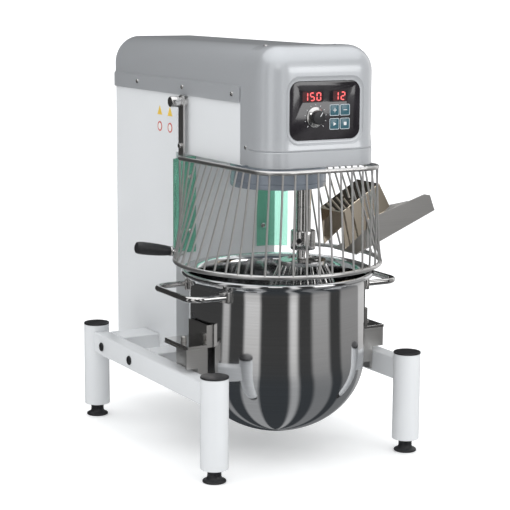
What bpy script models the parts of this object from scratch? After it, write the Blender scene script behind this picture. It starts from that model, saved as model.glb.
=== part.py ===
"""Commercial planetary stand mixer with a 20 litre bowl. Metres, +Z up, the front faces -Y.

Everything is modelled round the bowl's axis. The empty "machine" carries the whole object to its
place, so that the origin is at the bottom centre of the object's box.
"""
import math

import bmesh
import bpy
from mathutils import Matrix, Vector

# ---------------------------------------------------------------- driving dimensions (metres)
AXIS_X = -0.0409            # bowl axis in the object's frame
AXIS_Y = -0.1369
GAP = 0.0003                # clearance between pieces that touch
RUN = 0.0003                # running clearance of shafts in bores

BOWL_RADIUS = 0.160
BOWL_WALL = 0.002
BOWL_BOTTOM = 0.0370
BOWL_SIDE_START = 0.176     # height where the straight side begins
BOWL_RIM_HEIGHT = 0.3354
BOWL_BEAD = 0.0045          # radius of the rolled bead
BOWL_FLARE = 0.0102         # bead centre outside the wall
BOWL_LIFT = 0.012           # the bowl lifts this far to leave its pins

HANDLE_ROD = 0.005
HANDLE_HEIGHT = 0.307
HANDLE_REACH = 0.054        # rod axis outside the bowl's wall
HANDLE_HALF_LENGTH = 0.075
HANDLE_CORNER = 0.022

LEG_X = 0.1982
LEG_FRONT_Y = -0.1318
LEG_REAR_Y = 0.363
LEG_RADIUS = 0.0245
LEG_BOTTOM = 0.0234
LEG_TOP = 0.183
CAP_THICKNESS = 0.0029
FOOT_RADIUS = 0.0206
FOOT_PAD = 0.007
FOOT_STUD = 0.006
FOOT_TRAVEL = 0.012
RAIL_WIDTH = 0.030
RAIL_HEIGHT = 0.040
RAIL_BOTTOM = 0.131
RAIL_WALL = 0.0025

COLUMN_HALF = 0.1074
COLUMN_FRONT = 0.195
COLUMN_BACK = 0.461
COLUMN_BOTTOM = 0.135
SHELL = 0.002               # sheet thickness of the column and head
HEAD_FRONT = -0.056
HEAD_FLOOR = 0.533
SHELL_TOP = 0.668
MEMBER_WALL = 0.004
MEMBER_BOWL_SPACE = 0.008
FRONT_MEMBER = (0.118, 0.171)
REAR_MEMBER = (0.270, 0.334)

COVER_BOTTOM = 0.641
COVER_CREASE = 0.671
COVER_TOP = 0.739
COVER_CORNER = 0.048
COVER_FLARE = 0.004
COVER_SHEET = 0.0015
NOSE_HALF = 0.1115
NOSE_FRONT = -0.155
NOSE_TOP = 0.741
NOSE_CORNER = 0.043
NOSE_SHEET = 0.0025

PANEL_WIDTH = 0.139
PANEL_HEIGHT = 0.099
PANEL_Z = 0.632
PANEL_CORNER = 0.018
PANEL_THICKNESS = 0.003
PANEL_RECESS = 0.0015
KNOB_X = -0.0195
KNOB_Z = 0.621
KNOB_RADIUS = 0.0115
KNOB_SKIRT = 0.016
KNOB_LENGTH = 0.014
BUTTON_SIZE = 0.017
BUTTON_PROUD = 0.0022
BUTTON_TRAVEL = 0.001
BUTTON_X = (0.018, 0.039)
BUTTON_Z = (0.632, 0.6085)
DISPLAY_Z = (0.648, 0.6635)
DISPLAY_SPEED_X = (-0.0445, -0.0075)
DISPLAY_TIME_X = (0.0155, 0.0405)

CARRIER_ANGLE = math.radians(-29.45)    # where the spindle stands at rest
GEAR_MODULE = 0.002
RING_TEETH = 66
PINION_TEETH = 20
GEAR_FACE = 0.018
GEAR_BOTTOM = 0.503
GEAR_PLAY = 0.0005          # backlash taken from each tooth
RING_OUTER = 0.077
DRUM_RADIUS = 0.086
DRUM_WALL = 0.003
DRUM_BOTTOM = 0.487
DRUM_PLATE = 0.010
DRUM_TOP = 0.548
SPINDLE_RADIUS = 0.014
SPINDLE_BEARING = 0.024
HUB_RADIUS = 0.0225
HUB_BOTTOM = 0.3706
HUB_TOP = 0.4054
STEM_RADIUS = 0.0115
WHISK_DISC_RADIUS = 0.043
WHISK_DISC = (0.344, 0.353)
WHISK_WALL_SPACE = 0.024    # between the whisk's path and the bowl's wall
WHISK_FLOOR_SPACE = 0.033   # between the whisk's tip and the bowl's floor
WHISK_BELOW_SIDE = 0.004    # widest place below the start of the bowl's straight side
ORBIT_RADIUS = GEAR_MODULE * (RING_TEETH - PINION_TEETH) / 2
WHISK_RADIUS = BOWL_RADIUS - BOWL_WALL - ORBIT_RADIUS - WHISK_WALL_SPACE
WHISK_MIDDLE = BOWL_SIDE_START - WHISK_BELOW_SIDE
WHISK_DEPTH = WHISK_MIDDLE - BOWL_BOTTOM - BOWL_WALL - WHISK_FLOOR_SPACE    # from the widest place to the tip
WHISK_WIRE = 0.0018
WHISK_WIRES = 8

SHAFT_RADIUS = 0.012
BEARING_RADIUS = 0.026
BEARING_HEIGHT = 0.014
HOUSING_FLANGE = (0.560, 0.570)
HOUSING_FLANGE_RADIUS = 0.095
HOUSING_BOSS = 0.042
HOUSING_TOP = 0.668
PULLEY_BOTTOM = 0.683
PULLEY_HEIGHT = 0.020
DRIVEN_PULLEY_RADIUS = 0.075
MOTOR_PULLEY_RADIUS = 0.030
BELT_THICKNESS = 0.005
BELT_INSET = 0.002
MOTOR_Y = 0.340
MOTOR_RADIUS = 0.060
MOTOR_FLANGE = 0.080
MOTOR_BOTTOM = 0.420
MOTOR_TOP = 0.625
MOTOR_CAVITY = 0.032
MOTOR_END_PLATE = 0.020
MOTOR_SHAFT = 0.0097

GUARD_HALF = 0.121          # centre line of the upper ring's straight sides
GUARD_TOP_REAR = 0.152
GUARD_TOP_FRONT = -0.172
GUARD_TOP_CORNER = 0.050
GUARD_TOP_HEIGHT = 0.526    # at the pivot arms
GUARD_TOP_SLOPE = -0.012    # the ring rises a little towards the front
GUARD_LOW_RADIUS = 0.1858
GUARD_LOW_HEIGHT = 0.3514
GUARD_LOW_END_X = 0.122
GUARD_RING = 0.004
GUARD_WIRE = 0.0018
GUARD_WIRES = 39
GUARD_SECTORS = 5
PIVOT_Y = 0.152
PIVOT_Z = 0.630
PIVOT_PIN = 0.0057
PIVOT_SPACER = (0.009, 0.0067)          # radius, length
PIVOT_KNOB = (0.010, 0.022)             # radius, length
ARM_THICKNESS = 0.004
ARM_WIDTH = 0.020
ARM_TOP = 0.642
GRIP_START = (-0.1695, 0.084, 0.3665)
GRIP_DIRECTION = (-0.98, 0.10, 0.155)
GRIP_LENGTH = 0.066
GRIP_RADIUS = 0.0115
GRIP_NECK = 0.008
FERRULE_LENGTH = 0.006
FERRULE_RADIUS = 0.0095

CHUTE_NEAR = -0.030
CHUTE_WIDTH = 0.075
CHUTE_SHEET = 0.002
SPOUT_INNER_X = (0.118, 0.126)          # upper and lower corner of the mouth over the bowl
SPOUT_INNER_Z = (0.434, 0.363)
SPOUT_OUTER_X = (0.1985, 0.2235)
SPOUT_OUTER_Z = (0.482, 0.438)
TROUGH_INNER_X = 0.172      # inner end of the walls
TROUGH_LIP_X = 0.150        # inner end of the floor, over the bowl
TROUGH_OUTER_X = 0.324
TROUGH_INNER_Z = 0.3635
TROUGH_OUTER_Z = 0.4263
TROUGH_NEAR_HEIGHT = (0.053, 0.034)     # inner and outer end
TROUGH_FAR_HEIGHT = (0.053, 0.008)

SPLASH_Z = (0.342, 0.523)
SPLASH_X = (0.067, 0.093)
SPLASH_TIP = (0.124, 0.174)
SPLASH_SHEET = 0.003

LUG_HALF = 0.045
LUG_PLATE = (0.214, 0.219)
LUG_OUTER = 0.205
LUG_WEB_X = (0.164, 0.168)
LUG_TOP = 0.254
LUG_WEB_BACK = 0.024        # the upright plate ends here, short of the seat
PIN_X = 0.190
PIN_RADIUS = 0.005
PIN_TOP = 0.229
PIN_PLAY = 0.0008
BRACKET_SHEET = 0.004
BRACKET_INNER = 0.1640
BRACKET_OUTER = LEG_X - RAIL_WIDTH / 2 + 0.0228    # the top plate reaches this far over the rail
BRACKET_WEB = 0.006
BRACKET_BOTTOM = 0.137
BRACKET_SKIRT = 0.178
BRACKET_Y = (-0.042, 0.045)

ROUND = 32                  # sides of a middle-sized round piece
BOWL_STEPS = 48

MATERIALS = {
    "white_paint": ((0.80, 0.81, 0.82), 0.35, 0.0),
    "silver_paint": ((0.42, 0.44, 0.47), 0.32, 0.6),
    "polished_steel": ((0.72, 0.72, 0.72), 0.12, 1.0),
    "wire_steel": ((0.62, 0.60, 0.57), 0.25, 1.0),
    "satin_steel": ((0.55, 0.54, 0.52), 0.38, 1.0),
    "mirror_steel": ((0.75, 0.72, 0.68), 0.06, 1.0),
    "drum_paint": ((0.40, 0.43, 0.48), 0.35, 0.5),
    "black_plastic": ((0.02, 0.02, 0.025), 0.4, 0.0),
    "black_panel": ((0.02, 0.018, 0.02), 0.15, 0.0),
    "display": ((0.25, 0.03, 0.03), 0.3, 0.0),
    "button": ((0.10, 0.28, 0.33), 0.35, 0.0),
    "green_acrylic": ((0.05, 0.55, 0.38), 0.15, 0.0),
    "cast_iron": ((0.18, 0.19, 0.20), 0.6, 0.8),
    "gear_steel": ((0.45, 0.45, 0.47), 0.35, 1.0),
    "rubber": ((0.03, 0.03, 0.03), 0.7, 0.0),
}


# ---------------------------------------------------------------- tools
def clear_scene():
    for item in list(bpy.data.objects):
        bpy.data.objects.remove(item, do_unlink=True)


def material(name):
    found = bpy.data.materials.get(name)
    if found:
        return found
    colour, roughness, metallic = MATERIALS[name]
    made = bpy.data.materials.new(name)
    made.use_nodes = True
    shader = made.node_tree.nodes["Principled BSDF"]
    shader.inputs["Base Color"].default_value = (*colour, 1.0)
    shader.inputs["Roughness"].default_value = roughness
    shader.inputs["Metallic"].default_value = metallic
    return made


def empty(name, location, parent=None):
    made = bpy.data.objects.new(name, None)
    bpy.context.scene.collection.objects.link(made)
    made.location = location
    made.parent = parent
    return made


def from_bmesh(name, shape):
    bmesh.ops.recalc_face_normals(shape, faces=shape.faces)
    mesh = bpy.data.meshes.new(name)
    shape.to_mesh(mesh)
    shape.free()
    made = bpy.data.objects.new(name, mesh)
    bpy.context.scene.collection.objects.link(made)
    return made


def prism(name, outline, axis, low, high):
    """Extrudes a closed outline along axis: x takes (y, z) points, y takes (x, z), z takes (x, y)."""
    place = {"x": lambda a, b: (low, a, b), "y": lambda a, b: (a, low, b), "z": lambda a, b: (a, b, low)}
    along = {"x": (1, 0, 0), "y": (0, 1, 0), "z": (0, 0, 1)}[axis]
    shape = bmesh.new()
    base = shape.faces.new([shape.verts.new(place[axis](a, b)) for a, b in outline])
    grown = bmesh.ops.extrude_face_region(shape, geom=[base])
    moved = [item for item in grown["geom"] if isinstance(item, bmesh.types.BMVert)]
    bmesh.ops.translate(shape, verts=moved, vec=Vector(along) * (high - low))
    return from_bmesh(name, shape)


def box(name, x, y, z):
    return prism(name, [(x[0], y[0]), (x[1], y[0]), (x[1], y[1]), (x[0], y[1])], "z", z[0], z[1])


def turned(name, profile, steps=ROUND, centre=(0.0, 0.0), axis="z"):
    """Turns a closed (radius, height) profile about an axis through centre."""
    shape = bmesh.new()
    rings = []
    for radius, height in profile:
        count = 1 if radius < 1e-9 else steps
        ring = []
        for index in range(count):
            angle = 2 * math.pi * index / steps
            ring.append(shape.verts.new((radius * math.cos(angle), radius * math.sin(angle), height)))
        rings.append(ring)
    for number, ring in enumerate(rings):
        after = rings[(number + 1) % len(rings)]
        if len(ring) == 1 and len(after) == 1:
            continue
        for index in range(steps):
            following = (index + 1) % steps
            corners = [ring[index % len(ring)], ring[following % len(ring)]]
            corners += [after[following % len(after)], after[index % len(after)]]
            unique = list(dict.fromkeys(corners))
            shape.faces.new(unique)
    turn = {"z": Matrix.Identity(4), "x": Matrix.Rotation(math.pi / 2, 4, "Y"),
            "y": Matrix.Rotation(math.pi / 2, 4, "X")}[axis]
    shift = {"z": (centre[0], centre[1], 0), "x": (0, centre[0], centre[1]), "y": (centre[0], 0, centre[1])}
    bmesh.ops.transform(shape, matrix=Matrix.Translation(shift[axis]) @ turn, verts=shape.verts)
    return from_bmesh(name, shape)


def cylinder(name, radius, low, high, centre=(0.0, 0.0), axis="z", steps=ROUND):
    """A round bar; along x it runs with +X, along y a height of h lies at -h in Y."""
    return turned(name, [(0, low), (radius, low), (radius, high), (0, high)], steps, centre, axis)


def ring_piece(name, inner, outer, low, high, centre=(0.0, 0.0), steps=ROUND):
    return turned(name, [(inner, low), (outer, low), (outer, high), (inner, high)], steps, centre)


def tube_shape(shape, points, radius, sides):
    """Adds a round rod along points to shape, with flat ends."""
    points = [Vector(point) for point in points]
    side = None
    rings = []
    for number, point in enumerate(points):
        before = points[max(number - 1, 0)]
        after = points[min(number + 1, len(points) - 1)]
        along = (after - before).normalized()
        if side is None:
            helper = Vector((0, 0, 1)) if abs(along.z) < 0.9 else Vector((1, 0, 0))
            side = along.cross(helper).normalized()
        side = (side - along * side.dot(along)).normalized()
        up = along.cross(side)
        ring = []
        for index in range(sides):
            angle = 2 * math.pi * (index + 0.5) / sides
            offset = side * radius * math.cos(angle) + up * radius * math.sin(angle)
            ring.append(shape.verts.new(point + offset))
        rings.append(ring)
    for ring, after in zip(rings, rings[1:]):
        for index in range(sides):
            following = (index + 1) % sides
            shape.faces.new((ring[index], ring[following], after[following], after[index]))
    shape.faces.new(rings[0][::-1])
    shape.faces.new(rings[-1])


def rod(name, points, radius, sides=8):
    shape = bmesh.new()
    tube_shape(shape, points, radius, sides)
    return from_bmesh(name, shape)


def combine(target, tool, operation, several=False):
    """Applies a Boolean of tool to target and removes tool."""
    modifier = target.modifiers.new("shape", "BOOLEAN")
    modifier.operation = operation
    modifier.object = tool
    modifier.solver = "EXACT"
    modifier.use_self = several
    bpy.context.view_layer.update()
    evaluated = target.evaluated_get(bpy.context.evaluated_depsgraph_get())
    mesh = bpy.data.meshes.new_from_object(evaluated)
    target.modifiers.clear()
    before = target.data
    target.data = mesh
    bpy.data.meshes.remove(before)
    bpy.data.objects.remove(tool, do_unlink=True)
    return target


def cut(target, tool):
    return combine(target, tool, "DIFFERENCE")


def join(target, tool, several=False):
    return combine(target, tool, "UNION", several)


def finish(part, material_name, parent):
    """Shades a part, gives it its material and hangs it on its parent where it is."""
    mesh = part.data
    mesh.shade_smooth()
    mesh.set_sharp_from_angle(angle=math.radians(32))
    mesh.materials.clear()
    mesh.materials.append(material(material_name))
    part.parent = parent
    if parent.parent:
        part.location = -Vector(parent.location)
    return part


def arc(centre, radius, start, end, steps):
    """Points of an arc in degrees, both ends included."""
    points = []
    for index in range(steps + 1):
        angle = math.radians(start + (end - start) * index / steps)
        points.append((centre[0] + radius * math.cos(angle), centre[1] + radius * math.sin(angle)))
    return points


def rounded_rectangle(x, z, radius, steps=4):
    points = arc((x[1] - radius, z[0] + radius), radius, -90, 0, steps)
    points += arc((x[1] - radius, z[1] - radius), radius, 0, 90, steps)
    points += arc((x[0] + radius, z[1] - radius), radius, 90, 180, steps)
    points += arc((x[0] + radius, z[0] + radius), radius, 180, 270, steps)
    return points


def mirrored(outline):
    """The same outline on the other side of X = 0."""
    return [(-a, b) for a, b in reversed(outline)]


# ---------------------------------------------------------------- frame on the floor
def side_frame(name, side, parent):
    """One side rail with its front and rear leg tubes, welded."""
    rail_x = sorted((side * (LEG_X - RAIL_WIDTH / 2), side * (LEG_X + RAIL_WIDTH / 2)))
    rail_z = (RAIL_BOTTOM, RAIL_BOTTOM + RAIL_HEIGHT)
    frame = box(name, rail_x, (LEG_FRONT_Y, LEG_REAR_Y), rail_z)
    hollow_x = (rail_x[0] + RAIL_WALL, rail_x[1] - RAIL_WALL)
    hollow_y = (LEG_FRONT_Y + LEG_RADIUS + RAIL_WALL, LEG_REAR_Y - LEG_RADIUS - RAIL_WALL)
    hollow_z = (rail_z[0] + RAIL_WALL, rail_z[1] - RAIL_WALL)
    cut(frame, box("hollow", hollow_x, hollow_y, hollow_z))
    drain_y = (hollow_y[0] + 0.02, hollow_y[0] + 0.03)
    cut(frame, box("drain", (hollow_x[0] + 0.008, hollow_x[1] - 0.008), drain_y, (0.1, hollow_z[0] + 0.002)))
    stud_hole = FOOT_STUD + RUN
    plug_hole = LEG_RADIUS - 0.003
    for leg_y in (LEG_FRONT_Y, LEG_REAR_Y):
        profile = [(0, LEG_BOTTOM + 0.06), (stud_hole, LEG_BOTTOM + 0.06), (stud_hole, LEG_BOTTOM)]
        profile += [(LEG_RADIUS, LEG_BOTTOM), (LEG_RADIUS, LEG_TOP), (plug_hole, LEG_TOP)]
        profile += [(plug_hole, LEG_TOP - 0.008), (0, LEG_TOP - 0.008)]
        join(frame, turned("leg", profile, ROUND, (side * LEG_X, leg_y)))
    return finish(frame, "white_paint", parent)


def leg_cap(name, side, leg_y, parent):
    """Plastic cap in the top of a leg tube."""
    plug = LEG_RADIUS - 0.003 - GAP
    seat = LEG_TOP + GAP
    top = LEG_TOP + CAP_THICKNESS
    profile = [(0, LEG_TOP - 0.006), (plug, LEG_TOP - 0.006), (plug, seat), (LEG_RADIUS, seat)]
    profile += [(LEG_RADIUS, top - 0.0008), (LEG_RADIUS - 0.0012, top), (0, top)]
    return finish(turned(name, profile, ROUND, (side * LEG_X, leg_y)), "black_plastic", parent)


def levelling_foot(name, side, leg_y, parent):
    """Pad, sleeve and stud that screw into the leg."""
    seat = LEG_BOTTOM - GAP
    profile = [(0, 0), (FOOT_RADIUS, 0), (FOOT_RADIUS, 0.003), (0.0123, FOOT_PAD), (0.0123, seat)]
    profile += [(FOOT_STUD, seat), (FOOT_STUD, LEG_BOTTOM + 0.055), (0, LEG_BOTTOM + 0.055)]
    return finish(turned(name, profile, 20, (side * LEG_X, leg_y)), "black_plastic", parent)


def front_member_outline(inset):
    """Plan of the front cross member: it curves round the bowl and meets the column's front."""
    end = LEG_X - RAIL_WIDTH / 2 - GAP - inset
    low = FRONT_MEMBER[0] + inset
    step = FRONT_MEMBER[1] - inset
    back = COLUMN_FRONT - GAP - inset
    inner = COLUMN_HALF - inset
    radius = BOWL_RADIUS + MEMBER_BOWL_SPACE + inset
    first = math.degrees(math.acos(-math.sqrt(radius ** 2 - low ** 2) / radius))
    outline = [(-end, low)] + arc((0, 0), radius, first, 180 - first, 14) + [(end, low), (end, step)]
    outline += [(inner, step), (inner, back), (-inner, back), (-inner, step), (-end, step)]
    return outline


def front_cross_member(parent):
    low = RAIL_BOTTOM
    high = RAIL_BOTTOM + RAIL_HEIGHT
    member = prism("front_cross_member", front_member_outline(0), "z", low, high)
    inside = prism("hollow", front_member_outline(MEMBER_WALL), "z", low - 0.01, high - MEMBER_WALL)
    return finish(cut(member, inside), "white_paint", parent)


def rear_cross_member(parent):
    end = LEG_X - RAIL_WIDTH / 2 - GAP
    y = REAR_MEMBER
    low = RAIL_BOTTOM
    high = RAIL_BOTTOM + RAIL_HEIGHT
    member = box("rear_cross_member", (-end, end), y, (low, high))
    inner_x = (-end + MEMBER_WALL, end - MEMBER_WALL)
    inner_y = (y[0] + MEMBER_WALL, y[1] - MEMBER_WALL)
    cut(member, box("hollow", inner_x, inner_y, (low - 0.01, high - MEMBER_WALL)))
    return finish(member, "white_paint", parent)


# ---------------------------------------------------------------- column, head and covers
def body_shell(parent):
    """Folded white casing: the column with the head's side panels and floor."""
    outer = [(HEAD_FRONT, HEAD_FLOOR), (COLUMN_FRONT, HEAD_FLOOR), (COLUMN_FRONT, COLUMN_BOTTOM)]
    outer += [(COLUMN_BACK, COLUMN_BOTTOM), (COLUMN_BACK, SHELL_TOP), (HEAD_FRONT, SHELL_TOP)]
    shell = prism("body_shell", outer, "x", -COLUMN_HALF, COLUMN_HALF)
    past = 0.01
    inner = [(HEAD_FRONT - past, HEAD_FLOOR + SHELL), (COLUMN_FRONT + SHELL, HEAD_FLOOR + SHELL)]
    inner += [(COLUMN_FRONT + SHELL, COLUMN_BOTTOM - past), (COLUMN_BACK - SHELL, COLUMN_BOTTOM - past)]
    inner += [(COLUMN_BACK - SHELL, SHELL_TOP + past), (HEAD_FRONT - past, SHELL_TOP + past)]
    cut(shell, prism("hollow", inner, "x", -COLUMN_HALF + SHELL, COLUMN_HALF - SHELL))
    cut(shell, cylinder("drum_hole", DRUM_RADIUS + 0.004, HEAD_FLOOR - past, HEAD_FLOOR + past, steps=40))
    notch_y = (REAR_MEMBER[0] - GAP, REAR_MEMBER[1] + GAP)
    notch_z = (COLUMN_BOTTOM - past, RAIL_BOTTOM + RAIL_HEIGHT + GAP)
    cut(shell, box("notch", (-COLUMN_HALF - past, COLUMN_HALF + past), notch_y, notch_z))
    hole = cylinder("pivot_hole", PIVOT_PIN + GAP, -0.2, 0.2, (PIVOT_Y, PIVOT_Z), "x", 16)
    cut(shell, hole)
    cut(shell, box("service_hole", (-0.08, 0.08), (COLUMN_BACK - past, COLUMN_BACK + past), (0.25, 0.56)))
    return finish(shell, "white_paint", parent)


def rear_panel(parent):
    """Removable panel over the service opening, with cooling slots."""
    y = (COLUMN_BACK + GAP, COLUMN_BACK + GAP + SHELL)
    panel = box("rear_panel", (-0.09, 0.09), y, (0.235, 0.575))
    for row in range(6):
        z = 0.46 + row * 0.014
        cut(panel, box("slot", (-0.05, 0.05), (y[0] - 0.01, y[1] + 0.01), (z, z + 0.005)))
    return finish(panel, "white_paint", parent)


def cover_outline(inset, bottom):
    """Half section of the top cover, from the right foot over the top to the left foot."""
    skirt = COLUMN_HALF + COVER_FLARE - inset
    side = COLUMN_HALF + GAP - inset + COVER_SHEET
    radius = COVER_CORNER - inset
    top = COVER_TOP - inset
    outline = [(skirt, bottom), (skirt, COVER_CREASE - inset), (side, COVER_CREASE - inset)]
    outline += arc((side - radius, top - radius), radius, 0, 90, 6)
    outline += arc((radius - side, top - radius), radius, 90, 180, 6)
    outline += [(-side, COVER_CREASE - inset), (-skirt, COVER_CREASE - inset), (-skirt, bottom)]
    return outline


def top_cover(parent):
    back = COLUMN_BACK + GAP + COVER_SHEET
    cover = prism("top_cover", cover_outline(0, COVER_BOTTOM), "y", HEAD_FRONT + GAP, back)
    inner = cover_outline(COVER_SHEET, COVER_BOTTOM - 0.01)
    cut(cover, prism("hollow", inner, "y", HEAD_FRONT - 0.01, back - COVER_SHEET))
    return finish(cover, "silver_paint", parent)


def nose_block(name, inset, back, bottom):
    """The nose's rounded outer shape, or the same shape smaller by inset."""
    shape = bmesh.new()
    half = NOSE_HALF - inset
    front = NOSE_FRONT + inset
    top = NOSE_TOP - inset
    bmesh.ops.create_cube(shape, size=1.0)
    for vertex in shape.verts:
        vertex.co.x = math.copysign(half, vertex.co.x)
        vertex.co.y = back if vertex.co.y > 0 else front
        vertex.co.z = top if vertex.co.z > 0 else bottom
    chosen = []
    for edge in shape.edges:
        a, b = (vertex.co for vertex in edge.verts)
        middle = (a + b) / 2
        upright = abs(middle.z - (top + bottom) / 2) < 1e-5 and middle.y < (front + back) / 2
        crown = abs(middle.z - top) < 1e-5 and abs(middle.y - back) > 1e-5
        if upright or crown:
            chosen.append(edge)
    bmesh.ops.bevel(shape, geom=chosen, offset=NOSE_CORNER - inset, segments=6, profile=0.5, affect="EDGES")
    return from_bmesh(name, shape)


def nose_cover(parent):
    """Moulded front of the head, with the opening for the control panel."""
    nose = nose_block("nose_cover", 0, HEAD_FRONT, HEAD_FLOOR)
    cut(nose, nose_block("hollow", NOSE_SHEET, HEAD_FRONT + 0.01, HEAD_FLOOR - 0.01))
    half = PANEL_WIDTH / 2 + GAP
    z = (PANEL_Z - PANEL_HEIGHT / 2 - GAP, PANEL_Z + PANEL_HEIGHT / 2 + GAP)
    window = rounded_rectangle((-half, half), z, PANEL_CORNER + GAP)
    cut(nose, prism("window", window, "y", NOSE_FRONT - 0.01, NOSE_FRONT + 0.02))
    return finish(nose, "silver_paint", parent)


# ---------------------------------------------------------------- control panel
def panel_faces():
    front = NOSE_FRONT + PANEL_RECESS
    return front, front + PANEL_THICKNESS


def control_panel(parent):
    front, back = panel_faces()
    half = PANEL_WIDTH / 2
    z = (PANEL_Z - PANEL_HEIGHT / 2, PANEL_Z + PANEL_HEIGHT / 2)
    panel = prism("control_panel", rounded_rectangle((-half, half), z, PANEL_CORNER), "y", front, back)
    through = (front - 0.01, back + 0.01)
    play = 0.0005
    window_z = (DISPLAY_Z[0] - play, DISPLAY_Z[1] + play)
    for x in (DISPLAY_SPEED_X, DISPLAY_TIME_X):
        cut(panel, box("window", (x[0] - play, x[1] + play), through, window_z))
    for x in BUTTON_X:
        for z in BUTTON_Z:
            half = BUTTON_SIZE / 2 + play
            cut(panel, box("window", (x - half, x + half), through, (z - half, z + half)))
    cut(panel, cylinder("hole", 0.004, -back - 0.01, -front + 0.01, (KNOB_X, KNOB_Z), "y", 16))
    return finish(panel, "black_panel", parent)


def display_board(parent):
    """Circuit board behind the panel, with the two digit displays standing in its windows."""
    front, back = panel_faces()
    board_front = back + 0.004
    board = box("display_board", (-0.06, 0.06), (board_front, board_front + 0.0016), (0.592, 0.672))
    cut(board, cylinder("hole", 0.005, -0.2, 0.2, (KNOB_X, KNOB_Z), "y", 16))
    for x in (DISPLAY_SPEED_X, DISPLAY_TIME_X):
        join(board, box("digits", x, (front + 0.0005, board_front + 0.0008), DISPLAY_Z))
    return finish(board, "display", parent)


def speed_knob(parent):
    front, back = panel_faces()
    seat = -(front - GAP)
    profile = [(0, -back - 0.003), (0.0035, -back - 0.003), (0.0035, seat), (KNOB_SKIRT, seat)]
    profile += [(KNOB_SKIRT, seat + 0.002), (KNOB_RADIUS + 0.0015, seat + 0.005), (KNOB_RADIUS, seat + 0.005)]
    profile += [(KNOB_RADIUS, seat + KNOB_LENGTH - 0.001), (KNOB_RADIUS - 0.001, seat + KNOB_LENGTH)]
    profile += [(0, seat + KNOB_LENGTH)]
    return finish(turned("speed_knob", profile, 24, (KNOB_X, KNOB_Z), "y"), "polished_steel", parent)


def push_button(name, x, z, parent):
    front, back = panel_faces()
    half = BUTTON_SIZE / 2
    depth = (front - BUTTON_PROUD, back)
    return finish(box(name, (x - half, x + half), depth, (z - half, z + half)), "button", parent)


# ---------------------------------------------------------------- drive train
def gear_outline(teeth, internal):
    """Involute gear outline. An internal gear's outline is the edge of its tooth spaces."""
    pitch = GEAR_MODULE * teeth / 2
    base = pitch * math.cos(math.radians(20))
    height = 0.8 * GEAR_MODULE
    clearance = 0.25 * GEAR_MODULE
    low = pitch - height - (0 if internal else clearance)
    high = pitch + height + (clearance if internal else 0)
    play = GEAR_PLAY / 2 if internal else -GEAR_PLAY / 2
    half_pitch = (math.pi * GEAR_MODULE / 4 + play) / pitch
    involute = lambda radius: math.tan(math.acos(base / radius)) - math.acos(base / radius)
    levels = 3
    flank = []
    for step in range(levels + 1):
        radius = max(low, base * 1.0001) + (high - max(low, base * 1.0001)) * step / levels
        flank.append((radius, half_pitch + involute(pitch) - involute(radius)))
    if low < base:
        flank.insert(0, (low, flank[0][1]))
    outline = []
    for tooth in range(teeth):
        middle = 2 * math.pi * tooth / teeth
        for radius, half in flank:
            outline.append((radius * math.cos(middle - half), radius * math.sin(middle - half)))
        for radius, half in reversed(flank):
            outline.append((radius * math.cos(middle + half), radius * math.sin(middle + half)))
    return outline


def turn_about(part, angle, centre=(0.0, 0.0)):
    move = Matrix.Translation((*centre, 0)) @ Matrix.Rotation(angle, 4, "Z")
    part.data.transform(move)
    return part


def spindle_centre():
    offset = GEAR_MODULE * (RING_TEETH - PINION_TEETH) / 2
    return offset * math.cos(CARRIER_ANGLE), offset * math.sin(CARRIER_ANGLE)


def ring_gear(parent):
    top = GEAR_BOTTOM + GEAR_FACE
    ring = cylinder("ring_gear", RING_OUTER, GEAR_BOTTOM, top, steps=40)
    cut(ring, prism("teeth", gear_outline(RING_TEETH, True), "z", GEAR_BOTTOM - 0.01, top + 0.01))
    return finish(turn_about(ring, CARRIER_ANGLE), "gear_steel", parent)


def planet_pinion(parent):
    top = GEAR_BOTTOM + GEAR_FACE
    pinion = prism("planet_pinion", gear_outline(PINION_TEETH, False), "z", GEAR_BOTTOM, top)
    cut(pinion, cylinder("bore", 0.010, GEAR_BOTTOM - 0.01, top + 0.01, steps=24))
    return finish(turn_about(pinion, CARRIER_ANGLE, spindle_centre()), "gear_steel", parent)


def planet_drum(parent):
    """Rotating drum under the head; its floor carries the spindle's bearing."""
    floor = DRUM_BOTTOM + DRUM_PLATE
    inner = DRUM_RADIUS - DRUM_WALL
    profile = [(0, DRUM_BOTTOM), (DRUM_RADIUS - 0.002, DRUM_BOTTOM), (DRUM_RADIUS, DRUM_BOTTOM + 0.002)]
    profile += [(DRUM_RADIUS, DRUM_TOP), (inner, DRUM_TOP), (inner, floor), (0, floor)]
    drum = turned("planet_drum", profile, 40)
    bore = cylinder("bore", SPINDLE_BEARING + GAP, DRUM_BOTTOM - 0.01, floor + 0.001, spindle_centre())
    return finish(cut(drum, bore), "drum_paint", parent)


def main_shaft(parent):
    low = DRUM_BOTTOM + DRUM_PLATE + GAP
    high = PULLEY_BOTTOM + PULLEY_HEIGHT + 0.006
    return finish(cylinder("main_shaft", SHAFT_RADIUS, low, high, steps=24), "gear_steel", parent)


def driven_pulley(parent):
    low = PULLEY_BOTTOM
    high = PULLEY_BOTTOM + PULLEY_HEIGHT
    rim = DRIVEN_PULLEY_RADIUS - 0.010
    bore = SHAFT_RADIUS + GAP
    hub = SHAFT_RADIUS + 0.010
    profile = [(bore, low), (hub, low), (hub, low + 0.007), (rim, low + 0.007), (rim, low)]
    profile += [(DRIVEN_PULLEY_RADIUS, low), (DRIVEN_PULLEY_RADIUS, high), (rim, high), (rim, high - 0.007)]
    profile += [(hub, high - 0.007), (hub, high), (bore, high)]
    return finish(turned("driven_pulley", profile, 36), "cast_iron", parent)


def main_bearing(name, low, parent):
    piece = ring_piece(name, SHAFT_RADIUS + RUN, BEARING_RADIUS, low, low + BEARING_HEIGHT)
    return finish(piece, "gear_steel", parent)


def lower_bearing_seat():
    return HOUSING_FLANGE[0] + 0.004


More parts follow.
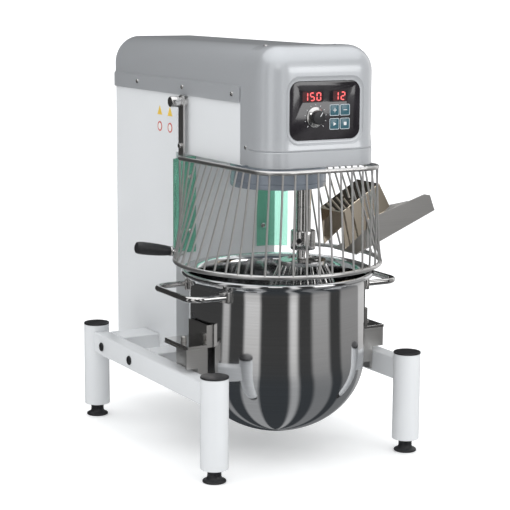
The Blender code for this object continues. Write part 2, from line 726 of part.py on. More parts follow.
def upper_bearing_seat():
    return HOUSING_TOP - BEARING_HEIGHT - 0.002


def bearing_housing(parent):
    """Cast housing: a flange in the head, a boss for two bearings, and the skirt above the ring gear."""
    low, flange_top = HOUSING_FLANGE
    skirt = GEAR_BOTTOM + GEAR_FACE + GAP
    seat = BEARING_RADIUS + GAP
    shoulder_low = lower_bearing_seat() + BEARING_HEIGHT + GAP
    shoulder_high = upper_bearing_seat() - GAP
    middle = SHAFT_RADIUS + 0.008
    profile = [(seat, low), (RING_OUTER - 0.005, low), (RING_OUTER - 0.005, skirt), (RING_OUTER, skirt)]
    profile += [(RING_OUTER, low), (HOUSING_FLANGE_RADIUS, low), (HOUSING_FLANGE_RADIUS, flange_top)]
    profile += [(HOUSING_BOSS, flange_top), (HOUSING_BOSS, HOUSING_TOP), (seat, HOUSING_TOP)]
    profile += [(seat, shoulder_high), (middle, shoulder_high), (middle, shoulder_low), (seat, shoulder_low)]
    return finish(turned("bearing_housing", profile, 40), "cast_iron", parent)


def spindle_bearing(parent):
    low = DRUM_BOTTOM + 0.001
    high = DRUM_BOTTOM + DRUM_PLATE - 0.001
    inner = SPINDLE_RADIUS + RUN
    piece = ring_piece("spindle_bearing", inner, SPINDLE_BEARING, low, high, spindle_centre(), 24)
    return finish(piece, "gear_steel", parent)


def agitator_shaft(parent):
    low = (HUB_BOTTOM + HUB_TOP) / 2 + GAP
    shoulder = GEAR_BOTTOM - GAP
    high = GEAR_BOTTOM + GEAR_FACE
    neck = 0.010 - GAP
    profile = [(0, low), (SPINDLE_RADIUS, low), (SPINDLE_RADIUS, shoulder), (neck, shoulder), (neck, high)]
    profile += [(0, high)]
    return finish(turned("agitator_shaft", profile, 24, spindle_centre()), "polished_steel", parent)


def tool_hub(parent):
    """Coupling sleeve that holds the tool's stem under the spindle."""
    middle = (HUB_BOTTOM + HUB_TOP) / 2
    upper = SPINDLE_RADIUS + GAP
    lower = STEM_RADIUS + GAP
    edge = 0.001
    profile = [(lower, HUB_BOTTOM), (HUB_RADIUS - edge, HUB_BOTTOM), (HUB_RADIUS, HUB_BOTTOM + edge)]
    profile += [(HUB_RADIUS, HUB_TOP - edge), (HUB_RADIUS - edge, HUB_TOP), (upper, HUB_TOP)]
    profile += [(upper, middle), (lower, middle)]
    return finish(turned("tool_hub", profile, 28, spindle_centre()), "polished_steel", parent)


def whisk(parent):
    """Balloon whisk: disc, stem and wires that meet in a small knot at the tip."""
    low, high = WHISK_DISC
    stem_top = (HUB_BOTTOM + HUB_TOP) / 2 - GAP
    profile = [(0, low), (WHISK_DISC_RADIUS, low), (WHISK_DISC_RADIUS, high - 0.002)]
    profile += [(STEM_RADIUS, high), (STEM_RADIUS, stem_top), (0, stem_top)]
    piece = turned("whisk", profile, 28)
    wires = bmesh.new()
    start = WHISK_DISC_RADIUS - 0.006
    tip = WHISK_MIDDLE - WHISK_DEPTH
    steps = 10
    for number in range(WHISK_WIRES):
        turn = 2 * math.pi * (number + 0.5) / WHISK_WIRES
        points = [(start, low + 0.003), (start + 0.004, low - 0.012)]
        points.append((0.072, (low + WHISK_MIDDLE) / 2 + 0.040))
        points.append((WHISK_RADIUS - 0.004, WHISK_MIDDLE + 0.050))
        for step in range(steps + 1):
            angle = math.pi / 2 * 0.955 * step / steps
            points.append((WHISK_RADIUS * math.cos(angle), WHISK_MIDDLE - WHISK_DEPTH * math.sin(angle)))
        route = [(radius * math.cos(turn), radius * math.sin(turn), z) for radius, z in points]
        tube_shape(wires, route, WHISK_WIRE, 5)
    join(piece, from_bmesh("wires", wires))
    knot = [(0, tip - 0.003), (0.009, tip - 0.001), (0.009, tip + 0.003), (0, tip + 0.005)]
    join(piece, turned("knot", knot, 16))
    return finish(turn_about(piece, 0, spindle_centre()), "polished_steel", parent)


def belt_loop(offset):
    """Plan of the belt: two arcs joined by straight runs, at offset outside the pulleys."""
    small = MOTOR_PULLEY_RADIUS + offset
    large = DRIVEN_PULLEY_RADIUS + offset
    lean = math.degrees(math.asin((large - small) / MOTOR_Y))
    points = arc((0, 0), large, 180 - lean, 360 + lean, 20)
    points += arc((0, MOTOR_Y), small, lean, 180 - lean, 12)
    return points


def drive_belt(parent):
    low = PULLEY_BOTTOM + BELT_INSET
    high = PULLEY_BOTTOM + PULLEY_HEIGHT - BELT_INSET
    belt = prism("drive_belt", belt_loop(0.0008 + BELT_THICKNESS), "z", low, high)
    cut(belt, prism("inside", belt_loop(0.0008), "z", low - 0.01, high + 0.01))
    return finish(belt, "rubber", parent)


def motor_housing(parent):
    """Motor casing with its top flange and the hollow for the rotor."""
    bore = MOTOR_SHAFT + 0.001
    floor = MOTOR_BOTTOM + MOTOR_END_PLATE
    ceiling = MOTOR_TOP - MOTOR_END_PLATE
    profile = [(0, MOTOR_BOTTOM), (MOTOR_RADIUS, MOTOR_BOTTOM), (MOTOR_RADIUS, MOTOR_TOP - 0.010)]
    profile += [(MOTOR_FLANGE, MOTOR_TOP - 0.010), (MOTOR_FLANGE, MOTOR_TOP), (bore, MOTOR_TOP)]
    profile += [(bore, ceiling), (MOTOR_CAVITY, ceiling), (MOTOR_CAVITY, floor), (0, floor)]
    return finish(turned("motor_housing", profile, 36, (0, MOTOR_Y)), "cast_iron", parent)


def rotor_shaft(parent):
    low = MOTOR_BOTTOM + MOTOR_END_PLATE + 0.003
    high = MOTOR_TOP - MOTOR_END_PLATE - 0.003
    core = MOTOR_CAVITY - 0.001
    top = PULLEY_BOTTOM + PULLEY_HEIGHT + 0.004
    profile = [(0, low), (core, low), (core, high), (MOTOR_SHAFT, high), (MOTOR_SHAFT, top), (0, top)]
    return finish(turned("rotor_shaft", profile, 24, (0, MOTOR_Y)), "gear_steel", parent)


def motor_pulley(parent):
    low = PULLEY_BOTTOM
    high = PULLEY_BOTTOM + PULLEY_HEIGHT
    piece = ring_piece("motor_pulley", MOTOR_SHAFT + GAP, MOTOR_PULLEY_RADIUS, low, high, (0, MOTOR_Y))
    return finish(piece, "cast_iron", parent)


# ---------------------------------------------------------------- bowl and its seats
def bowl(parent):
    """Turned steel bowl with a rolled bead."""
    rim = BOWL_RIM_HEIGHT - BOWL_BEAD
    neck = rim - 0.010
    steps = 9
    outer = []
    for step in range(steps + 1):
        angle = math.pi / 2 * step / steps
        drop = (BOWL_SIDE_START - BOWL_BOTTOM) * math.cos(angle)
        outer.append((BOWL_RADIUS * math.sin(angle), BOWL_SIDE_START - drop))
    outer.append((BOWL_RADIUS, neck))
    outer.append((BOWL_RADIUS + BOWL_FLARE * 0.5, rim - 0.004))
    bead = arc((BOWL_RADIUS + BOWL_FLARE, rim), BOWL_BEAD, -110, 130, 7)
    inner = [(BOWL_RADIUS + BOWL_FLARE * 0.5 - 0.003, rim), (BOWL_RADIUS - BOWL_WALL, neck - 0.002)]
    inside_radius = BOWL_RADIUS - BOWL_WALL
    for step in range(steps, -1, -1):
        angle = math.pi / 2 * step / steps
        drop = (BOWL_SIDE_START - BOWL_BOTTOM - BOWL_WALL) * math.cos(angle)
        inner.append((inside_radius * math.sin(angle), BOWL_SIDE_START - drop))
    return finish(turned("bowl", outer + bead + inner, BOWL_STEPS), "polished_steel", parent)


def bowl_handle(name, side, parent):
    """Round bar bent into a flat loop, welded to the bowl at both ends."""
    end = math.sqrt(BOWL_RADIUS ** 2 - (HANDLE_HALF_LENGTH - HANDLE_ROD) ** 2) + GAP
    reach = BOWL_RADIUS + HANDLE_REACH
    corner = HANDLE_CORNER
    y = HANDLE_HALF_LENGTH
    half = [(end, y), (reach - corner, y)]
    half += arc((reach - corner, y - corner), corner, 75, 0, 4)
    plan = half + [(x, -other) for x, other in reversed(half)]
    route = [(side * x, other, HANDLE_HEIGHT) for x, other in plan]
    return finish(rod(name, route, HANDLE_ROD, 8), "polished_steel", parent)


def bowl_lug(name, side, parent):
    """Bent plate on the bowl's side, with a hole for the locating pin."""
    web_in, web_out = LUG_WEB_X
    low, seat = LUG_PLATE
    section = [(BOWL_RADIUS - 0.012, low), (LUG_OUTER, low), (LUG_OUTER, seat), (BOWL_RADIUS - 0.012, seat)]
    web = [(web_in, low), (web_out, low), (web_out, LUG_TOP), (web_in, LUG_TOP)]
    flange = [(BOWL_RADIUS - 0.020, low), (web_out, low), (web_out, LUG_TOP), (BOWL_RADIUS - 0.020, LUG_TOP)]
    if side < 0:
        section = mirrored(section)
        web = mirrored(web)
        flange = mirrored(flange)
    lug = prism(name, section, "y", -LUG_HALF, LUG_HALF)
    join(lug, prism("web", web, "y", -LUG_HALF, LUG_WEB_BACK))
    for start in (-LUG_HALF, LUG_WEB_BACK - 0.004):
        join(lug, prism("flange", flange, "y", start, start + 0.004))
    cut(lug, cylinder("bowl_space", BOWL_RADIUS + 0.0006, low - 0.01, LUG_TOP + 0.01, steps=144))
    hole = PIN_RADIUS + PIN_PLAY
    cut(lug, cylinder("pin_hole", hole, low - 0.01, seat + 0.01, (side * PIN_X, 0), steps=16))
    return finish(lug, "satin_steel", parent)


def bowl_bracket(name, side, parent):
    """Bracket on the rail's inner face that the bowl's lug rests on, with its locating pin."""
    top = LUG_PLATE[0] - GAP
    under = top - BRACKET_SHEET
    rail = LEG_X - RAIL_WIDTH / 2 - GAP
    web = rail - BRACKET_WEB
    outer = BRACKET_OUTER
    section = [(web, BRACKET_BOTTOM), (rail, BRACKET_BOTTOM), (rail, under), (outer, under), (outer, top)]
    section += [(BRACKET_INNER, top), (BRACKET_INNER, under), (web, under)]
    front = [(BRACKET_INNER, BRACKET_BOTTOM + 0.013), (rail, BRACKET_BOTTOM + 0.013), (rail, BRACKET_SKIRT)]
    front += [(outer, BRACKET_SKIRT), (outer, top), (BRACKET_INNER, top)]
    if side < 0:
        section = mirrored(section)
        front = mirrored(front)
    bracket = prism(name, section, "y", *BRACKET_Y)
    join(bracket, prism("front", front, "y", BRACKET_Y[0], BRACKET_Y[0] + BRACKET_SHEET))
    pin = [(0, under + 0.001), (PIN_RADIUS, under + 0.001), (PIN_RADIUS, PIN_TOP - 0.002)]
    pin += [(PIN_RADIUS - 0.002, PIN_TOP), (0, PIN_TOP)]
    join(bracket, turned("pin", pin, 16, (side * PIN_X, 0)))
    return finish(bracket, "satin_steel", parent)


# ---------------------------------------------------------------- splash panels
def splash_panel(name, side, parent):
    """Bent transparent sheet, screwed to the column's front beside the bowl."""
    face = COLUMN_FRONT - GAP
    inner, bend = SPLASH_X
    tip_x, tip_y = SPLASH_TIP
    lean = Vector((tip_x - bend, tip_y - face)).normalized()
    across = Vector((lean.y, -lean.x)) * SPLASH_SHEET
    outline = [(inner, face), (inner, face - SPLASH_SHEET), (bend - 0.001, face - SPLASH_SHEET)]
    outline += [(tip_x + across.x, tip_y + across.y), (tip_x, tip_y), (bend, face)]
    if side < 0:
        outline = mirrored(outline)
    return finish(prism(name, outline, "z", *SPLASH_Z), "green_acrylic", parent)


# ---------------------------------------------------------------- guard
def top_ring_height(y):
    return GUARD_TOP_HEIGHT + GUARD_TOP_SLOPE * (y - GUARD_TOP_REAR)


def top_ring_point(share):
    """Point on the upper ring, from its left rear end (0) round the front to its right end (1)."""
    straight = GUARD_TOP_REAR - GUARD_TOP_FRONT - GUARD_TOP_CORNER
    bend = math.pi / 2 * GUARD_TOP_CORNER
    front = 2 * (GUARD_HALF - GUARD_TOP_CORNER)
    total = 2 * straight + 2 * bend + front
    run = min(share, 1 - share) * total
    if run < straight:
        x = -GUARD_HALF
        y = GUARD_TOP_REAR - run
    elif run < straight + bend:
        angle = (run - straight) / GUARD_TOP_CORNER
        x = -GUARD_HALF + GUARD_TOP_CORNER * (1 - math.cos(angle))
        y = GUARD_TOP_FRONT + GUARD_TOP_CORNER * (1 - math.sin(angle))
    else:
        x = -GUARD_HALF + GUARD_TOP_CORNER + run - straight - bend
        y = GUARD_TOP_FRONT
    if share > 0.5:
        x = -x
    return Vector((x, y, top_ring_height(y)))


def low_ring_point(share):
    """Point on the lower ring, an arc that is open towards the column."""
    half_open = math.degrees(math.asin(GUARD_LOW_END_X / GUARD_LOW_RADIUS))
    start = 90 + half_open
    angle = math.radians(start + share * (360 - 2 * half_open))
    return Vector((GUARD_LOW_RADIUS * math.cos(angle), GUARD_LOW_RADIUS * math.sin(angle), GUARD_LOW_HEIGHT))


def cut_for_chute(part):
    """Leaves the way free for the chute through the right side of the cage."""
    spare = 0.003
    y = (CHUTE_NEAR - CHUTE_SHEET - spare, CHUTE_NEAR + CHUTE_WIDTH + spare)
    return cut(part, box("chute_space", (0.10, 0.23), y, (TROUGH_INNER_Z - 0.008, SPOUT_OUTER_Z[0] + 0.004)))


def guard_cage(number, parent):
    """One sector of the cage: a length of both rings and the wires between them."""
    name = f"guard_cage_{number + 1}"
    spaces = GUARD_WIRES - 1
    first = round(number * GUARD_WIRES / GUARD_SECTORS)
    last = round((number + 1) * GUARD_WIRES / GUARD_SECTORS) - 1
    low_share = 0 if number == 0 else (first - 0.5) / spaces
    high_share = 1 if number == GUARD_SECTORS - 1 else (last + 0.5) / spaces
    trim = 0.0009
    steps = 10
    shares = []
    for step in range(steps + 1):
        shares.append(low_share + trim + (high_share - low_share - 2 * trim) * step / steps)
    sector = rod(name, [top_ring_point(share) for share in shares], GUARD_RING, 8)
    wires = bmesh.new()
    for index in range(first, last + 1):
        share = index / spaces
        share = min(max(share, 0.004), 0.996)
        upper = top_ring_point(share)
        lower = low_ring_point(share)
        along = (upper - lower).normalized()
        tube_shape(wires, [lower - along * 0.0015, upper + along * 0.0015], GUARD_WIRE, 5)
    join(sector, from_bmesh("wires", wires))
    join(sector, rod("low_ring", [low_ring_point(share) for share in shares], GUARD_RING, 8))
    if number == GUARD_SECTORS - 1 or number == GUARD_SECTORS - 2:
        cut_for_chute(sector)
    return finish(sector, "wire_steel", parent)


def arm_x():
    """Inner and outer face of a guard arm."""
    inner = COLUMN_HALF + GAP + PIVOT_SPACER[1] + GAP
    return inner, inner + ARM_THICKNESS


def guard_arm(name, side, parent):
    """Flat arm from the pivot down to the rear end of the upper ring."""
    x = sorted(side * value for value in arm_x())
    low = top_ring_height(PIVOT_Y) + GUARD_RING + GAP
    half = ARM_WIDTH / 2
    outline = [(PIVOT_Y - half, low), (PIVOT_Y + half, low)]
    outline += arc((PIVOT_Y, ARM_TOP - half), half, 0, 180, 8)
    arm = prism(name, outline, "x", x[0], x[1])
    cut(arm, cylinder("hole", PIVOT_PIN + RUN, x[0] - 0.01, x[1] + 0.01, (PIVOT_Y, PIVOT_Z), "x", 20))
    return finish(arm, "satin_steel", parent)


def guard_pivot(name, side, parent):
    """Pivot bolt in the head's side, with its spacer and clamping knob."""
    inner, outer = arm_x()
    spacer_radius, spacer_length = PIVOT_SPACER
    knob_radius, knob_length = PIVOT_KNOB
    wall = COLUMN_HALF + GAP
    knob = outer + GAP
    profile = [(0, wall - 0.009), (PIVOT_PIN, wall - 0.009), (PIVOT_PIN, wall), (spacer_radius, wall)]
    profile += [(spacer_radius, wall + spacer_length), (PIVOT_PIN, wall + spacer_length), (PIVOT_PIN, knob)]
    profile += [(knob_radius, knob), (knob_radius, knob + knob_length - 0.002)]
    profile += [(knob_radius - 0.002, knob + knob_length), (0, knob + knob_length)]
    if side < 0:
        profile = [(radius, -along) for radius, along in reversed(profile)]
    return finish(turned(name, profile, 20, (PIVOT_Y, PIVOT_Z), "x"), "polished_steel", parent)


def guard_grip(parent):
    """Tapered handle on the cage's left side."""
    profile = [(0, 0), (FERRULE_RADIUS, 0), (FERRULE_RADIUS, FERRULE_LENGTH), (GRIP_NECK, FERRULE_LENGTH)]
    for step in range(1, 5):
        share = step / 4
        radius = GRIP_NECK + (GRIP_RADIUS - GRIP_NECK) * math.sin(share * math.pi / 2)
        profile.append((radius, FERRULE_LENGTH + GRIP_LENGTH * share * 0.9))
    profile.append((GRIP_RADIUS - 0.001, FERRULE_LENGTH + GRIP_LENGTH))
    profile.append((0, FERRULE_LENGTH + GRIP_LENGTH))
    grip = turned("guard_grip", profile, 20)
    turn = Vector(GRIP_DIRECTION).to_track_quat("Z", "Y").to_matrix().to_4x4()
    grip.data.transform(Matrix.Translation(GRIP_START) @ turn)
    return finish(grip, "black_plastic", parent)


# ---------------------------------------------------------------- ingredient chute
def chute_spout(parent):
    """Hood through the cage: a roof and two walls, open at both ends and below."""
    upper = (Vector((SPOUT_INNER_X[0], SPOUT_INNER_Z[0])), Vector((SPOUT_OUTER_X[0], SPOUT_OUTER_Z[0])))
    lower = (Vector((SPOUT_INNER_X[1], SPOUT_INNER_Z[1])), Vector((SPOUT_OUTER_X[1], SPOUT_OUTER_Z[1])))
    outer = [tuple(upper[0]), tuple(lower[0]), tuple(lower[1]), tuple(upper[1])]
    y = (CHUTE_NEAR + GAP, CHUTE_NEAR + CHUTE_WIDTH - GAP)
    spout = prism("chute_spout", outer, "y", *y)
    down = Vector((0, -1)) * CHUTE_SHEET * 1.25
    past_top = (upper[1] - upper[0]) * 0.2
    past_low = (lower[1] - lower[0]) * 0.2
    inner = [upper[0] + down - past_top, lower[0] + down * 5 - past_low]
    inner += [lower[1] + down * 5 + past_low, upper[1] + down + past_top]
    space = [tuple(point) for point in inner]
    cut(spout, prism("space", space, "y", y[0] + CHUTE_SHEET, y[1] - CHUTE_SHEET))
    return finish(spout, "mirror_steel", parent)


def trough_wall(heights, low_shift=0.0):
    """Side view of one wall of the trough, with its outer corner taken off."""
    inner, outer = heights
    slope = (TROUGH_OUTER_Z - TROUGH_INNER_Z) / (TROUGH_OUTER_X - TROUGH_INNER_X)
    lean = outer * slope
    chamfer = min(0.010, outer * 0.4)
    outline = [(TROUGH_INNER_X, TROUGH_INNER_Z - low_shift), (TROUGH_OUTER_X, TROUGH_OUTER_Z - low_shift)]
    outline.append((TROUGH_OUTER_X - lean * 0.8, TROUGH_OUTER_Z + outer - chamfer * 0.7))
    outline.append((TROUGH_OUTER_X - lean - chamfer, TROUGH_OUTER_Z + outer - chamfer * slope))
    outline.append((TROUGH_INNER_X, TROUGH_INNER_Z + inner))
    return outline


def chute_trough(parent):
    """Open channel outside the cage that ingredients slide down."""
    near = CHUTE_NEAR - CHUTE_SHEET
    far = CHUTE_NEAR + CHUTE_WIDTH
    slope = (TROUGH_OUTER_Z - TROUGH_INNER_Z) / (TROUGH_OUTER_X - TROUGH_INNER_X)
    lip_z = TROUGH_INNER_Z - slope * (TROUGH_INNER_X - TROUGH_LIP_X)
    floor = [(TROUGH_LIP_X, lip_z - CHUTE_SHEET), (TROUGH_OUTER_X, TROUGH_OUTER_Z - CHUTE_SHEET)]
    floor += [(TROUGH_OUTER_X, TROUGH_OUTER_Z), (TROUGH_LIP_X, lip_z)]
    trough = prism("chute_trough", floor, "y", near, far + CHUTE_SHEET)
    wall = trough_wall(TROUGH_NEAR_HEIGHT, CHUTE_SHEET)
    join(trough, prism("near_wall", wall, "y", near, CHUTE_NEAR))
    wall = trough_wall(TROUGH_FAR_HEIGHT, CHUTE_SHEET)
    join(trough, prism("far_wall", wall, "y", far, far + CHUTE_SHEET))
    return finish(trough, "satin_steel", parent)


# ---------------------------------------------------------------- assembly
def build_frame(machine):
    for label, side in (("left", -1), ("right", 1)):
        side_frame(f"side_frame_{label}", side, machine)
        for place, leg_y in (("front", LEG_FRONT_Y), ("rear", LEG_REAR_Y)):
            leg_cap(f"leg_cap_{place}_{label}", side, leg_y, machine)
            name = f"foot_{place}_{label}"
            screw = empty(f"{name}_axis", (side * LEG_X, leg_y, LEG_BOTTOM), machine)
            levelling_foot(name, side, leg_y, screw)
        bowl_bracket(f"bowl_bracket_{label}", side, machine)
        splash_panel(f"splash_panel_{label}", side, machine)
        guard_pivot(f"guard_pivot_{label}", side, machine)
    front_cross_member(machine)
    rear_cross_member(machine)


def build_body(machine):
    body_shell(machine)
    rear_panel(machine)
    top_cover(machine)
    nose_cover(machine)
    control_panel(machine)
    display_board(machine)
    front, back = panel_faces()
    speed_knob(empty("speed_knob_axis", (KNOB_X, front, KNOB_Z), machine))
    number = 0
    for z in BUTTON_Z:
        for x in BUTTON_X:
            number += 1
            travel = empty(f"push_button_{number}_axis", (x, front, z), machine)
            push_button(f"push_button_{number}", x, z, travel)


def build_drive(machine):
    motor_housing(machine)
    drive_belt(machine)
    bearing_housing(machine)
    main_bearing("lower_bearing", lower_bearing_seat(), machine)
    main_bearing("upper_bearing", upper_bearing_seat(), machine)
    ring_gear(machine)
    rotor = empty("rotor_axis", (0, MOTOR_Y, MOTOR_TOP), machine)
    rotor_shaft(rotor)
    motor_pulley(rotor)
    carrier = empty("carrier_axis", (0, 0, DRUM_BOTTOM), machine)
    planet_drum(carrier)
    main_shaft(carrier)
    driven_pulley(carrier)
    spindle_bearing(carrier)
    spindle = empty("spindle_axis", (*spindle_centre(), HUB_TOP), machine)
    planet_pinion(spindle)
    agitator_shaft(spindle)
    tool_hub(spindle)
    whisk(spindle)


def build_bowl(machine):
    lift = empty("bowl_axis", (0, 0, BOWL_BOTTOM), machine)
    bowl(lift)
    for label, side in (("left", -1), ("right", 1)):
        bowl_handle(f"bowl_handle_{label}", side, lift)
        bowl_lug(f"bowl_lug_{label}", side, lift)


def build_guard(machine):
    hinge = empty("guard_axis", (0, PIVOT_Y, PIVOT_Z), machine)
    for number in range(GUARD_SECTORS):
        guard_cage(number, hinge)
    guard_arm("guard_arm_left", -1, hinge)
    guard_arm("guard_arm_right", 1, hinge)
    guard_grip(hinge)
    chute_spout(hinge)
    chute_trough(hinge)


def build():
    clear_scene()
    machine = empty("machine", (AXIS_X, AXIS_Y, 0))
    build_frame(machine)
    build_body(machine)
    build_drive(machine)
    build_bowl(machine)
    build_guard(machine)


build()
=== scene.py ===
"""Looks of a commercial stand mixer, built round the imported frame.

Shapes are written in millimetres about the bowl's axis, +Z up, the front facing -Y.
"""
import math

import bmesh
import bpy
from mathutils import Matrix, Vector


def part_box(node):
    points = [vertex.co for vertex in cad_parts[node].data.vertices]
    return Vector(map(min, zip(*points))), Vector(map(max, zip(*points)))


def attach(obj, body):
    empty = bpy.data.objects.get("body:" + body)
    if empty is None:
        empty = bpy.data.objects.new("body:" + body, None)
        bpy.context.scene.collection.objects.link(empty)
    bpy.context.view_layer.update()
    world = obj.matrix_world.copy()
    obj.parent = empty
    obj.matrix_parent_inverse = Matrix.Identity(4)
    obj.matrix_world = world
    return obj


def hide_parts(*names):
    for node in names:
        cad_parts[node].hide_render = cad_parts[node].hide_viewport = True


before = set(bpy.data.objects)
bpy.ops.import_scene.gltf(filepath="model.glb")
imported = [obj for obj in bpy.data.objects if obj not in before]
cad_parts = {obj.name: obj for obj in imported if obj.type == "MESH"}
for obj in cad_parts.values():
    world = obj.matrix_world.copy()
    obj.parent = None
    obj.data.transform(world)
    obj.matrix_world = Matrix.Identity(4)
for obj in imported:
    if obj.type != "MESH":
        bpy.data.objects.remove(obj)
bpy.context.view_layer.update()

bowl_low, bowl_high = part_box("bowl")
AXIS = Vector(((bowl_low.x + bowl_high.x) / 2, (bowl_low.y + bowl_high.y) / 2, 0))
MM = 1000.0


def where(node):
    """The node's box in millimetres about the bowl's axis: (low, high) along x, y and z."""
    low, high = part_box(node)
    low, high = (low - AXIS) * MM, (high - AXIS) * MM
    return (low.x, high.x), (low.y, high.y), (low.z, high.z)


# ---------------------------------------------------------------- materials
def surface(name, colour, roughness, metallic=0.0, spread=0.04, grain=60.0, stretch=(1, 1, 1), bump=0.0,
            bump_scale=900.0, rough_spread=0.05, coat=0.0, extra=None):
    """A Principled material whose colour, roughness and bump come from noise, scaled per metre."""
    material = bpy.data.materials.new(name)
    material.use_nodes = True
    tree = material.node_tree
    nodes, links = tree.nodes, tree.links
    shader = nodes["Principled BSDF"]
    place = nodes.new("ShaderNodeTexCoord")
    mapping = nodes.new("ShaderNodeMapping")
    mapping.inputs["Scale"].default_value = stretch
    links.new(place.outputs["Object"], mapping.inputs["Vector"])
    noise = nodes.new("ShaderNodeTexNoise")
    noise.inputs["Scale"].default_value = grain
    noise.inputs["Detail"].default_value = 4
    links.new(mapping.outputs["Vector"], noise.inputs["Vector"])
    ramp = nodes.new("ShaderNodeValToRGB")
    ramp.color_ramp.elements[0].position = 0.3
    ramp.color_ramp.elements[1].position = 0.7
    ramp.color_ramp.elements[0].color = (*[value * (1 - spread) for value in colour], 1)
    ramp.color_ramp.elements[1].color = (*[min(value * (1 + spread), 1) for value in colour], 1)
    links.new(noise.outputs["Fac"], ramp.inputs["Fac"])
    links.new(ramp.outputs["Color"], shader.inputs["Base Color"])
    spread_node = nodes.new("ShaderNodeMapRange")
    spread_node.inputs["From Min"].default_value = 0.3
    spread_node.inputs["From Max"].default_value = 0.7
    spread_node.inputs["To Min"].default_value = max(roughness - rough_spread, 0.02)
    spread_node.inputs["To Max"].default_value = roughness + rough_spread
    links.new(noise.outputs["Fac"], spread_node.inputs["Value"])
    links.new(spread_node.outputs["Result"], shader.inputs["Roughness"])
    shader.inputs["Metallic"].default_value = metallic
    shader.inputs["Coat Weight"].default_value = coat
    shader.inputs["Coat Roughness"].default_value = 0.08
    if bump:
        fine = nodes.new("ShaderNodeTexNoise")
        fine.inputs["Scale"].default_value = bump_scale
        fine.inputs["Detail"].default_value = 2
        links.new(mapping.outputs["Vector"], fine.inputs["Vector"])
        relief = nodes.new("ShaderNodeBump")
        relief.inputs["Strength"].default_value = bump
        relief.inputs["Distance"].default_value = 0.0002
        links.new(fine.outputs["Fac"], relief.inputs["Height"])
        links.new(relief.outputs["Normal"], shader.inputs["Normal"])
    for socket, value in (extra or {}).items():
        shader.inputs[socket].default_value = value
    return material


WHITE = surface("white_powder_coat", (0.675, 0.688, 0.70), 0.38, spread=0.012, grain=9, bump=0.12,
                bump_scale=700, coat=0.15)
SILVER = surface("silver_metallic_paint", (0.50, 0.515, 0.535), 0.38, 0.4, spread=0.06, grain=1400,
                 rough_spread=0.04, coat=0.6)
BOWL_STEEL = surface("turned_steel", (0.77, 0.775, 0.785), 0.08, 1.0, spread=0.05, grain=1.0,
                     stretch=(3, 3, 900), bump=0.02, bump_scale=1.0, rough_spread=0.02,
                     extra={"Anisotropic": 0.6, "Anisotropic Rotation": 0.25})
STEEL = surface("polished_steel", (0.68, 0.67, 0.66), 0.14, 1.0, spread=0.03, grain=40, rough_spread=0.04)
WIRE = surface("drawn_wire", (0.78, 0.77, 0.76), 0.34, 1.0, spread=0.03, grain=12, rough_spread=0.02)
SATIN = surface("satin_steel_sheet", (0.60, 0.59, 0.575), 0.38, 1.0, spread=0.04, grain=1.0,
                stretch=(5, 1200, 1200), bump=0.05, bump_scale=1.0, rough_spread=0.06)
MIRROR = surface("mirror_steel_sheet", (0.66, 0.58, 0.47), 0.06, 1.0, spread=0.04, grain=25,
                 rough_spread=0.03)
DRUM = surface("drum_metallic", (0.33, 0.37, 0.43), 0.34, 0.6, spread=0.05, grain=900, coat=0.3)
BLACK = surface("black_plastic", (0.018, 0.018, 0.020), 0.38, spread=0.25, grain=300, bump=0.15,
                bump_scale=1500)
PANEL = surface("panel_film", (0.016, 0.014, 0.017), 0.16, spread=0.3, grain=30, rough_spread=0.04, coat=0.5)
GLASS_RED = surface("display_window", (0.045, 0.006, 0.008), 0.12, spread=0.3, grain=80, coat=0.6)
KEY = surface("key_film", (0.03, 0.10, 0.13), 0.30, spread=0.12, grain=260, coat=0.3)
KEY_EDGE = surface("key_frame", (0.50, 0.58, 0.62), 0.35, spread=0.05, grain=200)
PRINT = surface("panel_print", (0.62, 0.63, 0.64), 0.5, spread=0.05, grain=300)
LED = surface("led_segment", (0.9, 0.10, 0.08), 0.4, spread=0.08, grain=400,
              extra={"Emission Color": (1.0, 0.14, 0.17, 1), "Emission Strength": 0.85})
GREEN = surface("green_acrylic", (0.50, 0.92, 0.76), 0.10, spread=0.03, grain=12, rough_spread=0.03,
                extra={"Transmission Weight": 0.85, "IOR": 1.3})
IRON = surface("cast_iron", (0.17, 0.18, 0.19), 0.6, 0.8, spread=0.15, grain=250, bump=0.3, bump_scale=600)
GEAR = surface("machined_steel", (0.45, 0.45, 0.46), 0.33, 1.0, spread=0.05, grain=150)
RUBBER = surface("belt_rubber", (0.025, 0.025, 0.026), 0.7, spread=0.2, grain=300, bump=0.2)
YELLOW = surface("sticker_yellow", (0.75, 0.50, 0.06), 0.45, spread=0.06, grain=120)
RED = surface("sticker_red", (0.55, 0.07, 0.05), 0.45, spread=0.06, grain=120)
STICKER = surface("sticker_white", (0.72, 0.72, 0.70), 0.45, spread=0.03, grain=120)


# ---------------------------------------------------------------- mesh tools
def prism(shape, outline, axis, low, high):
    """Adds a closed outline extruded along axis: x takes (y, z), y takes (x, z), z takes (x, y)."""
    place = {"x": lambda a, b: (low, a, b), "y": lambda a, b: (a, low, b), "z": lambda a, b: (a, b, low)}
    along = {"x": (1, 0, 0), "y": (0, 1, 0), "z": (0, 0, 1)}[axis]
    base = shape.faces.new([shape.verts.new(place[axis](a, b)) for a, b in outline])
    grown = bmesh.ops.extrude_face_region(shape, geom=[base])
    moved = [item for item in grown["geom"] if isinstance(item, bmesh.types.BMVert)]
    bmesh.ops.translate(shape, verts=moved, vec=Vector(along) * (high - low))


